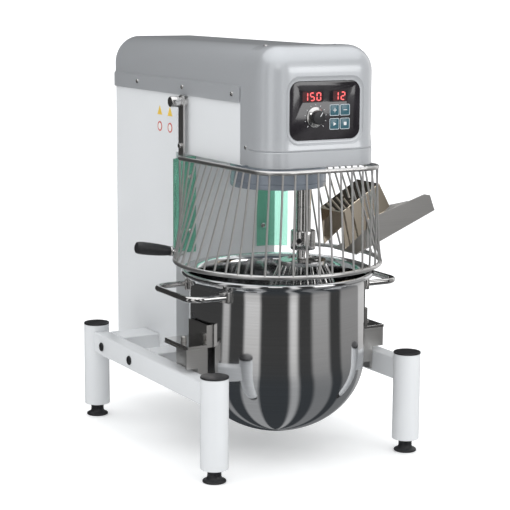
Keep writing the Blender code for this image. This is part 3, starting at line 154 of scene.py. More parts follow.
def lathe(shape, profile, steps=64, centre=(0, 0, 0), direction=(0, 0, 1)):
    """Adds a closed (radius, height) profile turned about the line through centre along direction."""
    turn = Vector(direction).to_track_quat("Z", "Y").to_matrix()
    centre = Vector(centre)
    rings = []
    for radius, height in profile:
        count = 1 if radius < 1e-6 else steps
        ring = []
        for index in range(count):
            angle = 2 * math.pi * index / steps
            local = Vector((radius * math.cos(angle), radius * math.sin(angle), height))
            ring.append(shape.verts.new(centre + turn @ local))
        rings.append(ring)
    for number, ring in enumerate(rings):
        after = rings[(number + 1) % len(rings)]
        if len(ring) == 1 and len(after) == 1:
            continue
        for index in range(steps):
            following = (index + 1) % steps
            corners = [ring[index % len(ring)], ring[following % len(ring)]]
            corners += [after[following % len(after)], after[index % len(after)]]
            shape.faces.new(list(dict.fromkeys(corners)))


def tube(shape, points, radius, sides=12, closed=False):
    """Adds a round rod along points; a rod that isn't closed gets flat ends."""
    points = [Vector(point) for point in points]
    count = len(points)
    side = None
    rings = []
    for number, point in enumerate(points):
        before = points[(number - 1) % count] if closed or number else point
        after = points[(number + 1) % count] if closed or number < count - 1 else point
        along = (after - before).normalized()
        if side is None:
            helper = Vector((0, 0, 1)) if abs(along.z) < 0.9 else Vector((1, 0, 0))
            side = along.cross(helper).normalized()
        side = (side - along * side.dot(along)).normalized()
        up = along.cross(side)
        ring = []
        for index in range(sides):
            angle = 2 * math.pi * index / sides
            offset = side * radius * math.cos(angle) + up * radius * math.sin(angle)
            ring.append(shape.verts.new(point + offset))
        rings.append(ring)
    last = count if closed else count - 1
    for number in range(last):
        ring, after = rings[number], rings[(number + 1) % count]
        for index in range(sides):
            following = (index + 1) % sides
            shape.faces.new((ring[index], ring[following], after[following], after[index]))
    if not closed:
        shape.faces.new(rings[0][::-1])
        shape.faces.new(rings[-1])


def block(shape, x, y, z, radius=1.0, segments=3):
    """Adds a box with rounded edges."""
    own = bmesh.new()
    prism(own, [(x[0], y[0]), (x[1], y[0]), (x[1], y[1]), (x[0], y[1])], "z", z[0], z[1])
    bmesh.ops.bevel(own, geom=own.edges[:], offset=radius, segments=segments, profile=0.5, affect="EDGES")
    absorb(shape, own)


def absorb(shape, own, matrix=None):
    """Moves the geometry of own into shape."""
    if matrix is not None:
        bmesh.ops.transform(own, matrix=matrix, verts=own.verts)
    mesh = bpy.data.meshes.new("part")
    own.to_mesh(mesh)
    own.free()
    shape.from_mesh(mesh)
    bpy.data.meshes.remove(mesh)


def soften(shape, radius, segments=3, sharper=40):
    """Rounds the edges that are sharper than the angle."""
    bmesh.ops.recalc_face_normals(shape, faces=shape.faces)
    limit = math.radians(sharper)
    chosen = [edge for edge in shape.edges if len(edge.link_faces) == 2 and edge.calc_face_angle() > limit]
    bmesh.ops.bevel(shape, geom=chosen, offset=radius, segments=segments, profile=0.5, affect="EDGES")


def arc(centre, radius, start, end, steps):
    """Points of an arc in degrees, both ends included."""
    points = []
    for index in range(steps + 1):
        angle = math.radians(start + (end - start) * index / steps)
        points.append((centre[0] + radius * math.cos(angle), centre[1] + radius * math.sin(angle)))
    return points


def rounded_rectangle(x, z, radius, steps=8):
    points = arc((x[1] - radius, z[0] + radius), radius, -90, 0, steps)
    points += arc((x[1] - radius, z[1] - radius), radius, 0, 90, steps)
    points += arc((x[0] + radius, z[1] - radius), radius, 90, 180, steps)
    points += arc((x[0] + radius, z[0] + radius), radius, 180, 270, steps)
    return points


def link(name, shape):
    """An object from a shape in millimetres about the bowl's axis."""
    bmesh.ops.recalc_face_normals(shape, faces=shape.faces)
    for vertex in shape.verts:
        vertex.co = vertex.co / MM + AXIS
    mesh = bpy.data.meshes.new(name)
    shape.to_mesh(mesh)
    shape.free()
    made = bpy.data.objects.new(name, mesh)
    bpy.context.scene.collection.objects.link(made)
    return made


def apply(made, kind, **settings):
    """Adds a modifier and makes its result the object's mesh."""
    modifier = made.modifiers.new("work", kind)
    for key, value in settings.items():
        setattr(modifier, key, value)
    bpy.context.view_layer.update()
    mesh = bpy.data.meshes.new_from_object(made.evaluated_get(bpy.context.evaluated_depsgraph_get()))
    made.modifiers.clear()
    before = made.data
    made.data = mesh
    bpy.data.meshes.remove(before)


def cut(made, shape, operation="DIFFERENCE"):
    """Takes a shape away from an object, or adds it."""
    tool = link("cutter", shape)
    apply(made, "BOOLEAN", operation=operation, object=tool, solver="EXACT")
    bpy.data.objects.remove(tool, do_unlink=True)


def piece(made, material, body, hides=(), smooth=35):
    """Gives an object its material, shading and body, and hides the CAD nodes that it stands for."""
    if isinstance(made, tuple):
        made = link(*made)
    made.data.shade_smooth()
    made.data.set_sharp_from_angle(angle=math.radians(smooth))
    made.data.materials.clear()
    made.data.materials.append(material)
    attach(made, body)
    if hides:
        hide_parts(*hides)
    return made


def screw(shape, point, direction, radius=4.0, height=2.4, socket=True):
    """Adds a button-head screw with a hexagon socket."""
    low = radius * 0.45
    steps = 24
    profile = [(0, -0.5), (radius, -0.5), (radius, height * 0.35)]
    profile += [(radius * 0.86, height * 0.78), (radius * 0.62, height)]
    if socket:
        profile += [(low, height), (low, height * 0.35), (0, height * 0.3)]
    else:
        profile += [(0, height)]
    lathe(shape, profile, steps, point, direction)


def hex_head(shape, point, direction, across=10.0, height=5.0):
    """Adds a hexagon head."""
    own = bmesh.new()
    outline = [(across / 2 / math.cos(math.pi / 6) * math.cos(math.pi / 3 * i),
                across / 2 / math.cos(math.pi / 6) * math.sin(math.pi / 3 * i)) for i in range(6)]
    prism(own, outline, "z", -0.5, height)
    soften(own, 0.6, 2)
    turn = Vector(direction).to_track_quat("Z", "Y").to_matrix().to_4x4()
    absorb(shape, own, Matrix.Translation(point) @ turn)


def dress(node, material, bevel=0.0, segments=3):
    """Gives a carried-over CAD node its material, and rounds its edges with modifiers."""
    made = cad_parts[node]
    made.data.materials.clear()
    made.data.materials.append(material)
    if bevel:
        weld = made.modifiers.new("weld", "WELD")
        weld.merge_threshold = 0.00002
        flat = made.modifiers.new("flat", "DECIMATE")
        flat.decimate_type = "DISSOLVE"
        flat.angle_limit = math.radians(0.6)
        edge = made.modifiers.new("edge", "BEVEL")
        edge.width = bevel / MM
        edge.segments = segments
        edge.limit_method = "ANGLE"
        edge.angle_limit = math.radians(40)
        edge.use_clamp_overlap = True


# ---------------------------------------------------------------- floor frame
SIDES = (("left", -1), ("right", 1))
ENDS = ("front", "rear")


def build_floor_frame():
    for label, side in SIDES:
        x, y, z = where(f"side_frame_{label}")
        rail_x = sorted((side * 183.2, side * 213.2))
        shape = bmesh.new()
        block(shape, rail_x, (-112, 344), (131, 171), 3.0)
        piece((f"rail_{label}", shape), WHITE, "frame", [f"side_frame_{label}"])
        shape = bmesh.new()
        for end in ENDS:
            (cx0, cx1), (cy0, cy1), _ = where(f"leg_cap_{end}_{label}")
            centre = ((cx0 + cx1) / 2, (cy0 + cy1) / 2, 0)
            profile = [(0, z[0]), (21, z[0]), (24.0, z[0]), (24.5, z[0] + 0.6)]
            profile += [(24.5, 182.4), (23.8, 183), (0, 183)]
            lathe(shape, profile, 72, centre)
            cap = bmesh.new()
            profile = [(0, 183.2), (24.6, 183.2), (24.8, 183.8), (24.8, 185.0), (24.2, 185.9), (22.5, 186.3)]
            profile += [(10, 186.5), (0, 186.5)]
            lathe(cap, profile, 72, centre)
            piece((f"cap_{end}_{label}", cap), BLACK, "frame", [f"leg_cap_{end}_{label}"])
            foot = bmesh.new()
            profile = [(0, 0), (19.4, 0), (20.6, 0.9), (20.6, 2.8), (19.8, 3.8), (16.5, 5.0), (14.2, 6.6)]
            profile += [(13.2, 8.4), (12.3, 10), (12.3, 14.0), (11.6, 14.6), (11.6, 15.6), (12.3, 16.2)]
            profile += [(12.3, 23.1), (0, 23.1)]
            lathe(foot, profile, 64, centre)
            piece((f"foot_{end}_{label}_look", foot), BLACK, f"foot_{end}_{label}",
                  [f"foot_{end}_{label}"])
        piece((f"legs_{label}", shape), WHITE, "frame")
        shape = bmesh.new()
        for bolt_y in (331 - 26, 179):
            profile = [(0, -1), (8.5, -1), (8.5, 1.6), (7.4, 2.8), (5.0, 3.2), (4.6, 1.8), (0, 1.8)]
            lathe(shape, profile, 40, (side * 213.2, bolt_y, 149), (side, 0, 0))
        piece((f"rail_bolts_{label}", shape), BLACK, "frame")
    dress("front_cross_member", WHITE, 2.0)
    dress("rear_cross_member", WHITE, 2.0)


# ---------------------------------------------------------------- column, cover and nose
def build_body():
    dress("body_shell", WHITE, 0.9)
    dress("rear_panel", WHITE, 0.8)
    back = where("rear_panel")
    shape = bmesh.new()
    for x in (back[0][0] + 10, back[0][1] - 10):
        for z in (back[2][0] + 12, back[2][1] - 12, (back[2][0] + back[2][1]) / 2):
            screw(shape, (x, back[1][1], z), (0, 1, 0), 4.0, 2.2)
    piece(("rear_panel_screws", shape), STEEL, "frame")

    cx, cy, cz = where("top_cover")
    half = cx[1]
    side = half - 3.0
    radius = 52.0
    top = cz[1]

    def outline(inset, bottom):
        points = [(half - inset, bottom), (half - inset, 667 - inset), (side - inset, 671 - inset)]
        points += arc((side - radius, top - radius), radius - inset, 0, 90, 18)
        points += arc((radius - side, top - radius), radius - inset, 90, 180, 18)
        points += [(inset - side, 671 - inset), (inset - half, 667 - inset), (inset - half, bottom)]
        return points
    shape = bmesh.new()
    prism(shape, outline(0, cz[0]), "y", cy[0], cy[1])
    rim = [edge for edge in shape.edges if all(vert.co.y > cy[1] - 0.01 for vert in edge.verts)]
    rim = [edge for edge in rim if not all(vert.co.z < cz[0] + 0.01 for vert in edge.verts)]
    bmesh.ops.bevel(shape, geom=rim, offset=3.0, segments=4, profile=0.5, affect="EDGES")
    cover = link("cover", shape)
    inner = bmesh.new()
    prism(inner, outline(1.5, cz[0] - 10), "y", cy[0] - 10, cy[1] - 1.5)
    cut(cover, inner)
    piece(cover, SILVER, "frame", ["top_cover"], 30)
    shape = bmesh.new()
    for side_sign in (-1, 1):
        for y, z in ((352, 656), (160, 656), (-30, 655)):
            screw(shape, (side_sign * half, y, z), (side_sign, 0, 0), 4.2, 2.6)
        screw(shape, (side_sign * 108.6, -76, 566), (side_sign, 0, 0), 3.6, 2.4)
    for x in (-70, 70):
        screw(shape, (x, -74, 738.2), (0, 0, 1), 3.6, 2.2)
    piece(("cover_screws", shape), STEEL, "frame")
    build_nose()


def nose_block(half, front, back, bottom, top, corner, segments=12):
    """A box with rounded upright front edges and a rounded crown, open towards the back."""
    shape = bmesh.new()
    prism(shape, [(-half, front), (half, front), (half, back), (-half, back)], "z", bottom, top)
    chosen = []
    for edge in shape.edges:
        middle = (edge.verts[0].co + edge.verts[1].co) / 2
        upright = abs(middle.z - (top + bottom) / 2) < 0.01 and middle.y < (front + back) / 2
        crown = abs(middle.z - top) < 0.01 and abs(middle.y - back) > 0.01
        if upright or crown:
            chosen.append(edge)
    bmesh.ops.bevel(shape, geom=chosen, offset=corner, segments=segments, profile=0.5, affect="EDGES")
    return shape


NOSE_HALF = 113.0
NOSE_FACE = -159.0
NOSE_CORNER = 46.0
NOSE_SEAM = 564.0


NOSE_BACK = -95.0    # where the plan of the nose ends, behind its round corners


def nose_plan(offset):
    """Plan of the nose, grown by offset."""
    half = NOSE_HALF + offset
    front = NOSE_FACE - offset
    radius = NOSE_CORNER + offset
    points = [(half, NOSE_BACK), (-half, NOSE_BACK)]
    points += arc((radius - half, front + radius), radius, 180, 270, 20)
    points += arc((half - radius, front + radius), radius, 270, 360, 20)
    return points


def loft(shape, levels):
    """Adds a closed solid through (height, outline) levels that have as many points each."""
    rings = [[shape.verts.new((a, b, z)) for a, b in outline] for z, outline in levels]
    for ring, after in zip(rings, rings[1:]):
        for index in range(len(ring)):
            following = (index + 1) % len(ring)
            shape.faces.new((ring[index], ring[following], after[following], after[index]))
    shape.faces.new(rings[0][::-1])
    shape.faces.new(rings[-1])


def build_nose():
    x, y, z = where("nose_cover")
    top = z[1]
    bottom = 535.0
    nose = link("nose", nose_block(NOSE_HALF, NOSE_FACE, NOSE_BACK, bottom + 4, top, NOSE_CORNER))
    band = bmesh.new()
    grown = ((bottom, 0.6), (bottom + 1.2, 1.8), (NOSE_SEAM - 2.2, 2.0), (NOSE_SEAM - 0.8, 1.2),
             (NOSE_SEAM, -0.6),
             (NOSE_SEAM + 0.8, 1.0), (NOSE_SEAM + 2.4, 2.0), (NOSE_SEAM + 5, 1.7), (NOSE_SEAM + 9, 1.0),
             (NOSE_SEAM + 14, 0.4), (NOSE_SEAM + 20, 0.05))
    loft(band, [(height, nose_plan(offset)) for height, offset in grown])
    cut(nose, band, "UNION")
    flange = nose_block(109.3, -140, -56.5, bottom + 1, top - 2.2, 44)
    cut(nose, flange, "UNION")
    inner = nose_block(NOSE_HALF - 4.5, NOSE_FACE + 4.5, -40, bottom - 10, top - 6, NOSE_CORNER - 4)
    cut(nose, inner)
    px, _, pz = where("control_panel")
    rim = 7.5
    recess = bmesh.new()
    recess_levels = ((0.0, rim + 1.5), (0.5, rim + 0.6), (1.4, rim - 0.4), (2.4, rim - 2.0), (2.8, rim - 4.0))
    rings = []
    for depth, grow in ((-10, rim + 1.5),) + recess_levels:
        outline = rounded_rectangle((px[0] - grow, px[1] + grow), (pz[0] - grow, pz[1] + grow), 18 + grow, 10)
        rings.append([recess.verts.new((a, NOSE_FACE + depth, b)) for a, b in outline])
    for ring, after in zip(rings, rings[1:]):
        for index in range(len(ring)):
            following = (index + 1) % len(ring)
            recess.faces.new((ring[index], ring[following], after[following], after[index]))
    recess.faces.new(rings[0][::-1])
    recess.faces.new(rings[-1])
    cut(nose, recess)
    pocket = bmesh.new()
    prism(pocket, rounded_rectangle((px[0] - 0.6, px[1] + 0.6), (pz[0] - 0.6, pz[1] + 0.6), 18.6, 10), "y",
          NOSE_FACE - 10, NOSE_FACE + 10)
    cut(nose, pocket)
    apply(nose, "BEVEL", width=0.0007, segments=2, limit_method="ANGLE", angle_limit=math.radians(50))
    piece(nose, SILVER, "frame", ["nose_cover"], 28)
    build_panel(px, pz)


# ---------------------------------------------------------------- control panel
SEGMENTS = {"0": "abcdef", "1": "bc", "2": "abged", "3": "abgcd", "4": "fgbc", "5": "afgcd", "6": "afgedc",
            "7": "abc", "8": "abcdefg", "9": "abcdfg"}


def digit(shape, symbol, x, z, width, height, face):
    """Adds a seven-segment digit whose lower left corner is at (x, z)."""
    t = width * 0.2
    middle = z + height / 2
    bars = {"a": (x + t, x + width - t, z + height - t, z + height),
            "g": (x + t, x + width - t, middle - t / 2, middle + t / 2),
            "d": (x + t, x + width - t, z, z + t), "f": (x, x + t, middle + t / 4, z + height - t / 2),
            "e": (x, x + t, z + t / 2, middle - t / 4),
            "b": (x + width - t, x + width, middle + t / 4, z + height - t / 2),
            "c": (x + width - t, x + width, z + t / 2, middle - t / 4)}
    for name in SEGMENTS[symbol]:
        x0, x1, z0, z1 = bars[name]
        cap = t * 0.45
        if name in "agd":
            outline = [(x0, (z0 + z1) / 2), (x0 + cap, z0), (x1 - cap, z0)]
            outline += [(x1, (z0 + z1) / 2), (x1 - cap, z1), (x0 + cap, z1)]
        else:
            outline = [((x0 + x1) / 2, z0), (x1, z0 + cap), (x1, z1 - cap)]
            outline += [((x0 + x1) / 2, z1), (x0, z1 - cap), (x0, z0 + cap)]
        prism(shape, outline, "y", face, face + 0.5)


def bar(shape, x, z, front):
    """Adds a flat printed bar over the spans x and z, its back 0.5 mm behind front."""
    prism(shape, [(x[0], z[0]), (x[1], z[0]), (x[1], z[1]), (x[0], z[1])], "y", front, front + 0.5)


def build_panel(px, pz):
    face = NOSE_FACE + 1.3
    shape = bmesh.new()
    prism(shape, rounded_rectangle(px, pz, 18, 12), "y", face, face + 3)
    panel = link("panel", shape)
    windows = []
    for index, (x, z) in enumerate((((-45.5, -7.0), (646.5, 665.0)), ((15.0, 41.5), (646.5, 665.0)))):
        windows.append((x, z))
        hole = bmesh.new()
        prism(hole, rounded_rectangle(x, z, 1.5, 3), "y", face - 1, face + 1.2)
        cut(panel, hole)
    apply(panel, "BEVEL", width=0.0005, segments=2, limit_method="ANGLE", angle_limit=math.radians(50))
    piece(panel, PANEL, "frame", ["control_panel", "display_board"], 40)
    glass, lit = bmesh.new(), bmesh.new()
    for (x, z), text in zip(windows, ("150", "12")):
        prism(glass, rounded_rectangle((x[0] + 0.3, x[1] - 0.3), (z[0] + 0.3, z[1] - 0.3), 1.2, 3), "y",
              face + 0.5, face + 1.1)
        width, height = 9.0, 14.4
        pitch = (x[1] - x[0]) / len(text)
        for index, symbol in enumerate(text):
            left = x[0] + pitch * (index + 0.5) - width / 2
            digit(lit, symbol, left, (z[0] + z[1]) / 2 - height / 2, width, height, face + 0.1)
    piece(("display_windows", glass), GLASS_RED, "frame")
    piece(("display_digits", lit), LED, "frame")

    marks = bmesh.new()
    (kx0, kx1), _, (kz0, kz1) = where("speed_knob")
    kx, kz = (kx0 + kx1) / 2, (kz0 + kz1) / 2
    for step in range(11):
        angle = math.radians(225 - 27 * step)
        length = 3.2 if step % 5 == 0 else 2.0
        own = bmesh.new()
        block(own, (20.0, 20.0 + length), (-0.25, 0.25), (-0.45, 0.45), 0.12, 1)
        turn = Matrix.Translation((kx, face, kz)) @ Matrix.Rotation(-angle, 4, "Y")
        absorb(marks, own, turn)
    piece(("dial_marks", marks), PRINT, "frame")

    skirt = bmesh.new()
    seat = (kx, face - 0.3, kz)
    profile = [(0, 0), (17.6, 0), (17.6, 1.0), (17.0, 1.8), (13.4, 4.4), (12.6, 5.0), (0, 5.0)]
    lathe(skirt, profile, 72, seat, (0, -1, 0))
    piece(("knob_skirt", skirt), STEEL, "speed_knob", ["speed_knob"])
    cap = bmesh.new()
    flutes = []
    for index in range(96):
        angle = 2 * math.pi * index / 96
        radius = 11.6 + 0.35 * math.cos(angle * 16)
        flutes.append((kx + radius * math.cos(angle), kz + radius * math.sin(angle)))
    prism(cap, flutes, "y", face - 13.6, face - 4.6)
    soften(cap, 0.8, 3, 60)
    piece(("knob_cap", cap), BLACK, "speed_knob")
    pointer = bmesh.new()
    block(pointer, (kx - 0.7, kx + 0.7), (face - 13.9, face - 13.0), (kz + 2.5, kz + 10.8), 0.2, 1)
    absorb_turned(pointer, (kx, kz), 35)
    piece(("knob_pointer", pointer), PRINT, "speed_knob")

    for number in range(1, 5):
        (bx0, bx1), _, (bz0, bz1) = where(f"push_button_{number}")
        outer = rounded_rectangle((bx0 - 1.1, bx1 + 1.1), (bz0 - 1.1, bz1 + 1.1), 2.4, 4)
        inner = rounded_rectangle((bx0 - 0.1, bx1 + 0.1), (bz0 - 0.1, bz1 + 0.1), 1.6, 4)
        shape = bmesh.new()
        prism(shape, outer, "y", face - 0.5, face + 0.3)
        ring = link(f"key_frame_{number}", shape)
        hole = bmesh.new()
        prism(hole, inner, "y", face - 5, face + 5)
        cut(ring, hole)
        piece(ring, KEY_EDGE, "frame")
        key = bmesh.new()
        prism(key, rounded_rectangle((bx0 + 0.4, bx1 - 0.4), (bz0 + 0.4, bz1 - 0.4), 1.4, 4), "y",
              face - 1.4, face + 0.6)
        soften(key, 0.4, 2, 60)
        piece((f"key_{number}", key), KEY, f"push_button_{number}", [f"push_button_{number}"])
        glyph = bmesh.new()
        mx, mz = (bx0 + bx1) / 2, (bz0 + bz1) / 2
        front = face - 1.7
        if number in (1, 2):
            bar(glyph, (mx - 3.6, mx + 3.6), (mz - 0.6, mz + 0.6), front)
            if number == 1:
                bar(glyph, (mx - 0.6, mx + 0.6), (mz + 0.7, mz + 3.6), front)
                bar(glyph, (mx - 0.6, mx + 0.6), (mz - 3.6, mz - 0.7), front)
        elif number == 3:
            prism(glyph, [(mx - 2.6, mz - 3.2), (mx + 3.2, mz), (mx - 2.6, mz + 3.2)], "y", front,
                  front + 0.5)
        else:
            prism(glyph, rounded_rectangle((mx - 2.8, mx + 2.8), (mz - 2.8, mz + 2.8), 0.5, 2), "y", front,
                  front + 0.5)
        piece((f"key_mark_{number}", glyph), PRINT, f"push_button_{number}")


def absorb_turned(shape, centre, degrees):
    """Turns a shape about the Y line through centre (x, z)."""
    move = Matrix.Translation((centre[0], 0, centre[1])) @ Matrix.Rotation(math.radians(degrees), 4, "Y")
    move = move @ Matrix.Translation((-centre[0], 0, -centre[1]))
    bmesh.ops.transform(shape, matrix=move, verts=shape.verts)


# ---------------------------------------------------------------- drive and whisk
def build_drive():
    (x0, x1), (y0, y1), _ = where("agitator_shaft")
    sx, sy = (x0 + x1) / 2, (y0 + y1) / 2
    dx, _, dz = where("planet_drum")
    r = dx[1]
    low = dz[0]
    shape = bmesh.new()
    profile = [(0, low), (r - 2.5, low), (r - 0.8, low + 0.7), (r, low + 2.4), (r, low + 9)]
    profile += [(r - 0.8, low + 9.6), (r - 0.8, low + 10.8), (r, low + 11.4), (r, dz[1]), (r - 3, dz[1])]
    profile += [(r - 3, low + 10), (0, low + 10)]
    lathe(shape, profile, 128)
    drum = link("drum", shape)
    hole = bmesh.new()
    lathe(hole, [(0, low - 5), (24.4, low - 5), (24.4, low + 12), (0, low + 12)], 48, (sx, sy, 0))
    cut(drum, hole)
    piece(drum, DRUM, "carrier", ["planet_drum"])
    shape = bmesh.new()
    for index in range(6):
        angle = math.radians(60 * index + 10)
        if index != 5:
            screw(shape, (64 * math.cos(angle), 64 * math.sin(angle), low), (0, 0, -1), 4.5, 3)
    piece(("drum_screws", shape), STEEL, "carrier")
    shape = bmesh.new()
    lathe(shape, [(14.6, low - 2.2), (23.8, low - 2.2), (24.6, low - 1.2), (24.6, low + 1),
                  (14.6, low + 1)], 64, (sx, sy, 0))
    piece(("spindle_seal", shape), STEEL, "carrier")

    shape = bmesh.new()
    profile = [(0, 388.5), (14, 388.5), (14, 448), (13.4, 448.6), (13.4, 450), (14, 450.6)]
    profile += [(14, 503), (0, 503)]
    lathe(shape, profile, 64, (sx, sy, 0))
    piece(("spindle", shape), STEEL, "spindle", ["agitator_shaft"])
    hx, _, hz = where("tool_hub")
    r = hx[1] - sx
    shape = bmesh.new()
    profile = [(11.6, hz[0]), (r - 2, hz[0]), (r - 0.6, hz[0] + 0.6), (r, hz[0] + 2), (r, hz[1] - 2)]
    profile += [(r - 0.6, hz[1] - 0.6), (r - 2, hz[1]), (14.2, hz[1])]
    profile += [(14.2, 388.2), (11.6, 388.2)]
    lathe(shape, profile, 72, (sx, sy, 0))
    hub = link("hub", shape)
    slot = bmesh.new()
    toward = Vector((math.sin(math.radians(-29.45 - 20)), -math.cos(math.radians(-29.45 - 20)), 0))
    lathe(slot, [(0, r - 4), (5.2, r - 4), (5.2, r + 4), (0, r + 4)], 32,
          (sx, sy, (hz[0] + hz[1]) / 2), toward)
    cut(hub, slot)
    piece(hub, STEEL, "spindle", ["tool_hub"])
    shape = bmesh.new()
    seat = Vector((sx, sy, (hz[0] + hz[1]) / 2)) + toward * (r - 3.6)
    lathe(shape, [(0, 0), (4.6, 0), (4.6, 2.6), (4.0, 3.2), (2.4, 3.2), (2.4, 0.8), (0, 0.8)], 24,
          seat, toward)
    piece(("hub_screw", shape), BLACK, "spindle")
    build_whisk(sx, sy)


WHISK_MIDDLE = 172.0   # height of the whisk's widest place


def build_whisk(sx, sy):
    x, y, z = where("whisk")
    widest = (x[1] - x[0]) / 2 - 1
    shape = bmesh.new()
    profile = [(0, 344), (42, 344), (43, 345), (43, 350.8), (42, 352), (20, 353.2), (13, 355)]
    profile += [(11.5, 358), (11.5, 388), (0, 388)]
    lathe(shape, profile, 72, (sx, sy, 0))
    for index in range(4):
        angle = math.radians(90 * index + 30)
        screw(shape, (sx + 28 * math.cos(angle), sy + 28 * math.sin(angle), 352.4), (0, 0, 1), 3.4, 2.4)
    piece(("whisk_plate", shape), STEEL, "spindle", ["whisk"])
    shape = bmesh.new()
    count = 26
    tip = z[0] + 4
    for number in range(count):
        turn = 2 * math.pi * number / count
        points = []
        for step in range(26):
            share = step / 25
            height = 350 - (350 - WHISK_MIDDLE) * share
            radius = 37 + (widest - 37) * math.sin(math.pi / 2 * share ** 0.82)
            points.append((radius, height))
        for step in range(1, 21):
            angle = math.pi / 2 * 0.97 * step / 20
            drop = (WHISK_MIDDLE - tip) * math.sin(angle)
            points.append((widest * math.cos(angle), WHISK_MIDDLE - drop))
        route = [(sx + radius * math.cos(turn), sy + radius * math.sin(turn), height)
                 for radius, height in points]
        tube(shape, route, 1.15, 8)
    lathe(shape, [(0, tip - 2), (6, tip - 1.4), (7, tip), (6, tip + 2), (0, tip + 2.6)], 32, (sx, sy, 0))
    piece(("whisk_wires", shape), STEEL, "spindle")


# ---------------------------------------------------------------- bowl and its seats
BOWL_SIDE = 176.0   # the straight side begins at this height


def build_bowl():
    x, y, z = where("bowl")
    radius = 160.0
    wall = 2.2
    bead = 4.6
    rim = z[1] - bead
    flare = x[1] - radius - bead
    profile = []
    steps = 30
    for step in range(steps + 1):
        angle = math.pi / 2 * step / steps
        profile.append((radius * math.sin(angle), BOWL_SIDE - (BOWL_SIDE - z[0]) * math.cos(angle)))
    profile += [(radius, 200), (radius, 260), (radius, 300), (radius, rim - 16)]
    profile += [(radius + flare * 0.06, rim - 12), (radius + flare * 0.3, rim - 7)]
    profile += [(radius + flare * 0.75, rim - 4.6)]
    profile += arc((radius + flare, rim), bead, -80, 130, 16)
    profile += [(radius + flare * 0.35, rim + 1.2), (radius - wall + 1.2, rim - 3.5)]
    profile += [(radius - wall, rim - 10)]
    profile += [(radius - wall, 300), (radius - wall, 200)]
    for step in range(steps, -1, -1):
        angle = math.pi / 2 * step / steps
        drop = (BOWL_SIDE - z[0] - wall) * math.cos(angle)
        profile.append(((radius - wall) * math.sin(angle), BOWL_SIDE - drop))
    shape = bmesh.new()
    lathe(shape, profile, 192)
    piece(("bowl_shell", shape), BOWL_STEEL, "bowl", ["bowl"], 50)
    for label, side in SIDES:
        hx, hy, hz = where(f"bowl_handle_{label}")
        reach = max(abs(hx[0]), abs(hx[1])) - 5
        height = (hz[0] + hz[1]) / 2
        y = hy[1] - 5
        corner = 26.0
        half = [(148, y), (reach - corner, y)]
        half += arc((reach - corner, y - corner), corner, 84, 0, 10)
        plan = half + [(a, -b) for a, b in reversed(half)]
        shape = bmesh.new()
        tube(shape, [(side * a, b, height) for a, b in plan], 5.4, 20)
        for end in (-1, 1):
            own = bmesh.new()
            block(own, (158.5, 167.5), (-11, 11), (height - 10.5, height + 10.5), 2.5, 3)
            angle = math.atan2(end * y * 0.97, side * 146)
            absorb(shape, own, Matrix.Rotation(angle, 4, "Z"))
        piece((f"handle_{label}", shape), STEEL, "bowl", [f"bowl_handle_{label}"])
        dress(f"bowl_lug_{label}", STEEL, 0.8)
        dress(f"bowl_bracket_{label}", SATIN, 0.8)
        shape = bmesh.new()
        for spot_y in (-25, 0, 25):
            hex_head(shape, (side * 176.5, spot_y, 152), (-side, 0, 0), 10, 5)
        lathe(shape, [(8.5, 209), (8.5, 213.8), (5.1, 213.8), (5.1, 209)], 32, (side * 190, 0, 0))
        piece((f"bracket_bolts_{label}", shape), STEEL, "frame")
    shape = bmesh.new()
    ring = []
    for step in range(40):
        angle = 2 * math.pi * step / 40
        ring.append((190 + 8.5 * math.cos(angle), 8.5 * math.sin(angle), 220.6))
    tube(shape, ring, 1.0, 8, True)
    piece(("pin_ring", shape), STEEL, "bowl")


def build_panels():
    for label, side in SIDES:
        dress(f"splash_panel_{label}", GREEN, 0.5, 2)
        x, y, z = where(f"splash_panel_{label}")
        shape = bmesh.new()
        for height in (382.5, 485):
            screw(shape, (side * 79, 191.6, height), (0, -1, 0), 5.0, 3.0)
        piece((f"splash_screws_{label}", shape), STEEL, "frame")


